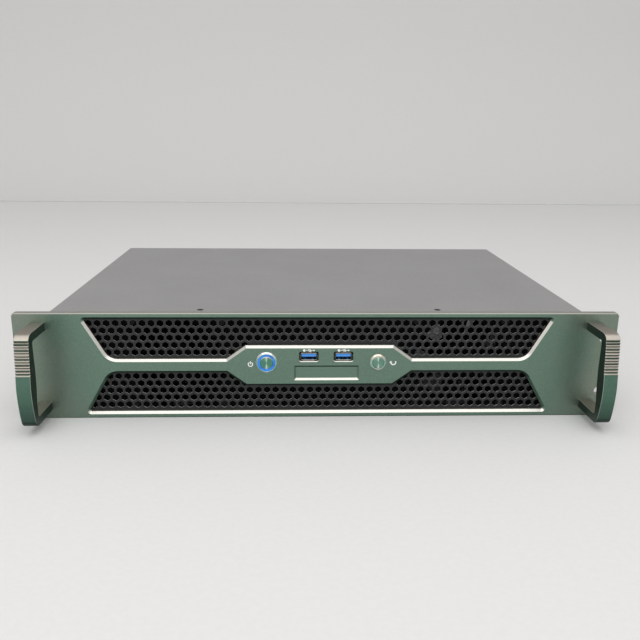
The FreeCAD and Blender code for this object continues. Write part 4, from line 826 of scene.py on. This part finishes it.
def folded_cover():
    """Copy of the lid with its outer folds rounded."""
    low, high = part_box("top_cover")
    sides = ((0, low.x), (0, high.x), (1, high.y), (2, high.z))

    def sides_at(vert):
        return {k for k, (axis, value) in enumerate(sides) if abs(vert.co[axis] - value) < 1e-5}

    mesh = NODES["top_cover"].data.copy()
    work = bmesh.new()
    work.from_mesh(mesh)
    bmesh.ops.remove_doubles(work, verts=work.verts, dist=1e-6)
    bmesh.ops.dissolve_limit(work, angle_limit=math.radians(0.5), verts=work.verts, edges=work.edges)
    folds = [e for e in work.edges if len(sides_at(e.verts[0]) & sides_at(e.verts[1])) >= 2]
    bmesh.ops.bevel(work, geom=folds, offset=FOLD * MM, segments=5, profile=0.5,
                    affect="EDGES", clamp_overlap=False)
    bmesh.ops.triangulate(work, faces=[f for f in work.faces if len(f.verts) > 4])
    work.to_mesh(mesh)
    work.free()
    mesh.name = "folded_cover"
    obj = shown("folded_cover", mesh, "cover", "cover")
    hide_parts("top_cover")
    keep_flats(obj)
    print("rounded", len(folds), "edges")


folded_cover()

# %% [markdown]
# ## Screws
#
# A recessed head is a fan of rings about its axis: middle of the recess, foot of
# the cross, rim of the cross, edge of the head, and down the side. The rim of a
# plus sign, seen from its middle at an angle a, is as far away as the larger of
# min(L/|cos a|, w/|sin a|) and min(w/|cos a|, L/|sin a|), where L is half the
# length of its arms and w half their width.

# %% Screws
ORDER = {"z": (0, 1, 2), "y": (0, 2, 1)}
RIDGE = 0.18


def screw(foot, axis, rings, arm, deep, knurl=0, sides=72):
    """Screw about an axis through foot, "y" or "z", in millimetres.

    rings: (radius, height) pairs from the head's face to the tip, the last on the axis.
    arm = (L, w) is the cross recess and deep its depth.
    knurl: how many ridges the second and third ring have, each RIDGE deep.
    """
    turn = 2 * np.pi * (np.arange(sides) + 0.5) / sides
    cos, sin = np.abs(np.cos(turn)), np.abs(np.sin(turn))
    radius = [np.full(sides, r) for r, _ in rings]
    height = [h for _, h in rings]
    if knurl:
        ridges = RIDGE * (0.5 - 0.5 * np.cos(knurl * turn))
        radius = [r - ridges if k in (1, 2) else r for k, r in enumerate(radius)]
    long, half = arm
    cross = np.maximum(np.minimum(long / cos, half / sin), np.minimum(half / cos, long / sin))
    radius = np.array([cross * 0.0, cross * 0.75, cross] + radius)
    height = np.array([height[0] - deep, height[0] - deep, height[0]] + height)[:, None]
    local = np.stack([radius * np.cos(turn), radius * np.sin(turn), height + 0 * radius], -1)
    points = local.reshape(-1, 3)[:, ORDER[axis]]
    return (points + np.asarray(foot)) * MM, list(grid(len(radius), sides))


def islands(node):
    """Boxes (low, high) of the separate solids of a CAD node, in millimetres.

    Every corner starts with a number of its own.  Each edge hands the lower of its two numbers
    to both its ends, over and over, until all corners of a solid have the same one.
    """
    mesh = NODES[node].data
    corners = np.empty(3 * len(mesh.vertices))
    mesh.vertices.foreach_get("co", corners)
    corners = corners.reshape(-1, 3)
    ends = np.empty(2 * len(mesh.edges), int)
    mesh.edges.foreach_get("vertices", ends)
    _, same = np.unique(corners.round(6), axis=0, return_inverse=True)
    a, b = same.reshape(-1)[ends.reshape(-1, 2)].T
    number = np.arange(same.max() + 1)
    settled = False
    while not settled:
        before = number.copy()
        lower = np.minimum(number[a], number[b])
        np.minimum.at(number, a, lower)
        np.minimum.at(number, b, lower)
        settled = np.array_equal(before, number)
    owner = number[same.reshape(-1)]
    return [(corners[owner == k].min(0) / MM, corners[owner == k].max(0) / MM) for k in np.unique(owner)]


def screw_set(node, name, make, body, slot, finish):
    """One piece of several equal screws, one on each solid of a CAD node."""
    shapes = [make(low, high) for low, high in islands(node)]
    obj = piece(name, *together(shapes), body, slot, finish, 28)
    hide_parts(node)


SHANK = 1.5


def lid_screw(low, high):
    """Countersunk, flush with the lid."""
    x, y = (low[:2] + high[:2]) / 2
    top, rim = high[2], (high[0] - low[0]) / 2
    rings = [(rim - 0.1, top), (rim, top - 0.12), (SHANK, top - 1.15), (SHANK, low[2]), (0, low[2])]
    return screw((x, y, 0), "z", rings, (1.35, 0.32), 0.8)


def slot_screw(low, high):
    """Pan head over a slot blank."""
    x, y = (low[:2] + high[:2]) / 2
    top, rim = high[2], (high[1] - low[1]) / 2
    rings = [(rim - 0.9, top), (rim - 0.35, top - 0.2), (rim, top - 0.8), (rim, top - 1.8),
             (SHANK, top - 1.8), (SHANK, low[2]), (0, low[2])]
    return screw((x, y, 0), "z", rings, (1.5, 0.36), 0.9)


def thumb_screw(low, high):
    """Knurled head that looks to the rear, on a plain neck; heights are along Y."""
    x, z = (low[0] + high[0]) / 2, (low[2] + high[2]) / 2
    back, rim = high[1], (high[0] - low[0]) / 2
    face = back - 8.0
    rings = [(rim - 0.5, back), (rim, back - 0.5), (rim, face + 1.6), (rim - 0.8, face + 1.1),
             (rim - 0.8, face), (SHANK, face), (SHANK, low[1]), (0, low[1])]
    return screw((x, 0, z), "y", rings, (1.9, 0.42), 1.2, knurl=36, sides=288)


screw_set("cover_screws", "lid_screws", lid_screw, "cover", "black_steel", "black_screw")
screw_set("blank_screws", "slot_screws", slot_screw, "chassis", "zinc_steel", "zinc")
screw_set("thumb_screws", "knurled_screws", thumb_screw, "chassis", "zinc_steel", "thumb")

# %% [markdown]
# ## Printed marks
#
# Beside the buttons and over the data ports sit the usual plain symbols, printed
# in white: a nearly closed ring with a stroke, an open turning arc, and a
# branching line. They are only a few millimetres high, so simple bands and dots
# carry them, each with the thickness of the ink.

# %% Symbols
INK = 0.05


def band(line, width):
    """Ribbon of a given width along a line of (x, z) points, as thick as the ink."""
    line = np.asarray(line, float)
    run = np.gradient(line, axis=0)
    side = np.column_stack([-run[:, 1], run[:, 0]]) / np.linalg.norm(run, axis=1, keepdims=True) * width / 2
    outline = [line + side, line - side, line - side, line + side]
    depth = [PLATE_FACE - INK, PLATE_FACE - INK, PLATE_FACE + INK, PLATE_FACE + INK]
    points = np.stack([np.insert(o, 1, d, axis=1) for o, d in zip(outline, depth)], 1)
    return points.reshape(-1, 3) * MM, capped(len(line), 4)


def spot(outline):
    """Small filled shape from (x, z) corners, as thick as the ink."""
    return bar([(outline, PLATE_FACE - INK), (outline, PLATE_FACE + INK)], np.zeros(2))


def arc(middle, radius, start, end, count=40):
    """Points on a circle, angles in degrees from +X towards +Z."""
    turn = np.radians(np.linspace(start, end, count))
    return np.column_stack([middle[0] + radius * np.cos(turn), middle[1] + radius * np.sin(turn)])


def dot(x, z, radius):
    """Round spot."""
    return spot(arc((x, z), radius, 0, 345, 24))


def mark(name, shapes):
    """One printed symbol on the plate."""
    piece(name, *together(shapes), "chassis", "white_ink", "ink")


x, z = -55.8, 1.6
mark("power_mark", [
    band(arc((x, z), 1.75, 118, 422), 0.75),
    band([(x, z + 0.1), (x, z + 1.3), (x, z + 2.6)], 0.7),
])
x, z = 59.6, 3.0
mark("reset_mark", [
    band(arc((x, z), 2.0, 185, 388), 0.95),
    spot([(x - 3.3, z - 0.3), (x - 0.7, z - 0.3), (x - 2.1, z + 1.4)]),
])
BRANCH = 0.45
for side in ("left", "right"):
    x, z = middle_of("port_shell_" + side)[0] / MM, 13.2
    mark("port_mark_" + side, [
        dot(x - 3.7, z, 1.1),
        dot(x + 4.0, z, 0.65),
        band([(x - 3.2, z), (x, z), (x + 3.6, z)], BRANCH),
        band([(x - 1.2, z), (x - 0.4, z + 0.85), (x + 0.8, z + 0.85)], BRANCH),
        dot(x + 1.0, z + 0.85, 0.5),
        band([(x - 0.5, z), (x + 0.2, z - 0.85), (x + 1.2, z - 0.85)], BRANCH),
        dot(x + 1.4, z - 0.85, 0.5),
    ])

# %% [markdown]
# ## Floor, light and camera
#
# A plain pale sweep stands under and behind the case: floor, curve and wall in
# one sheet. A broad lamp overhead, a little to the front, is what the bevels
# mirror, over the painted reflection in their tone; a weaker one in front fills the rest.

# %% Floor and backdrop
FLOOR_FRONT, FLOOR_BACK, CURVE, WALL_TOP, HALF_WIDTH = -4.0, 1.6, 0.6, 4.0, 4.0


def sweep():
    """Flat floor, a quarter circle of radius CURVE, then a wall, carried sideways; in metres."""
    turn = np.linspace(0, math.pi / 2, 24)
    y = np.concatenate([[FLOOR_FRONT, FLOOR_BACK], FLOOR_BACK + CURVE * np.sin(turn), [FLOOR_BACK + CURVE]])
    z = np.concatenate([[0, 0], CURVE - CURVE * np.cos(turn), [WALL_TOP]]) + cad_low[2]
    line = np.column_stack([y, z])
    points = np.concatenate([np.insert(line, 0, x, axis=1) for x in (-HALF_WIDTH, HALF_WIDTH)])
    count = len(line)
    k = np.arange(count - 1)
    return points, np.column_stack([k, k + 1, k + 1 + count, k + count])


paper, tree, shader = new_finish("pale_paper", Roughness=0.9)
tree.links.new(between(tree, grain(tree, 4, 2.0), "#dfdedd", "#e1e0df"), shader.inputs["Base Color"])
points, faces = sweep()
mesh = bpy.data.meshes.new("sweep")
mesh.from_pydata(points.tolist(), [], faces.tolist())
mesh.shade_smooth()
floor = bpy.data.objects.new("sweep", mesh)
bpy.context.scene.collection.objects.link(floor)
mesh.materials.append(paper)

# %% Lamps and sky
world = bpy.data.worlds.new("room")
bpy.context.scene.world = world
world.use_nodes = True
sky = world.node_tree.nodes["Background"].inputs
sky["Color"].default_value = linear("#f0f0f0")
sky["Strength"].default_value = 0.82


def lamp(name, place, size, power):
    """Soft square lamp, size metres wide, facing the origin; power in watts."""
    data = bpy.data.lights.new(name, "AREA")
    data.size = size
    data.energy = power
    obj = bpy.data.objects.new(name, data)
    obj.location = place
    obj.rotation_euler = (-Vector(place)).to_track_quat("-Z", "Y").to_euler()
    bpy.context.scene.collection.objects.link(obj)


lamp("overhead", (0.0, -0.6, 1.25), size=2.0, power=12)
lamp("front_fill", (-0.9, -1.5, 0.9), size=1.2, power=4)
print("two lamps and a pale sky")

# %% [markdown]
# The camera stands a little left of the middle and looks down about sixteen
# degrees, near enough that the far edge of the cover is clearly narrower.

# %% Camera
eye = bpy.data.cameras.new("eye")
eye.sensor_width = 36.0
eye.lens = 39.9
eye.clip_start = 0.02
camera = bpy.data.objects.new("eye", eye)
bpy.context.scene.collection.objects.link(camera)
bpy.context.scene.camera = camera
yaw, pitch, roll = (math.radians(a) for a in (2.40, 15.53, 0.63))
ahead = Vector((math.sin(yaw) * math.cos(pitch), math.cos(yaw) * math.cos(pitch), -math.sin(pitch)))
level = Vector((math.cos(yaw), -math.sin(yaw), 0))
upright = level.cross(ahead)
right = level * math.cos(roll) + upright * math.sin(roll)
up = upright * math.cos(roll) - level * math.sin(roll)
turn = Matrix((right, up, -ahead)).transposed().to_4x4()
camera.matrix_world = Matrix.Translation((-0.0229, -0.5477, 0.18925)) @ turn
bpy.context.scene.view_settings.view_transform = "Standard"
print("field of view", round(math.degrees(eye.angle), 1), "degrees")
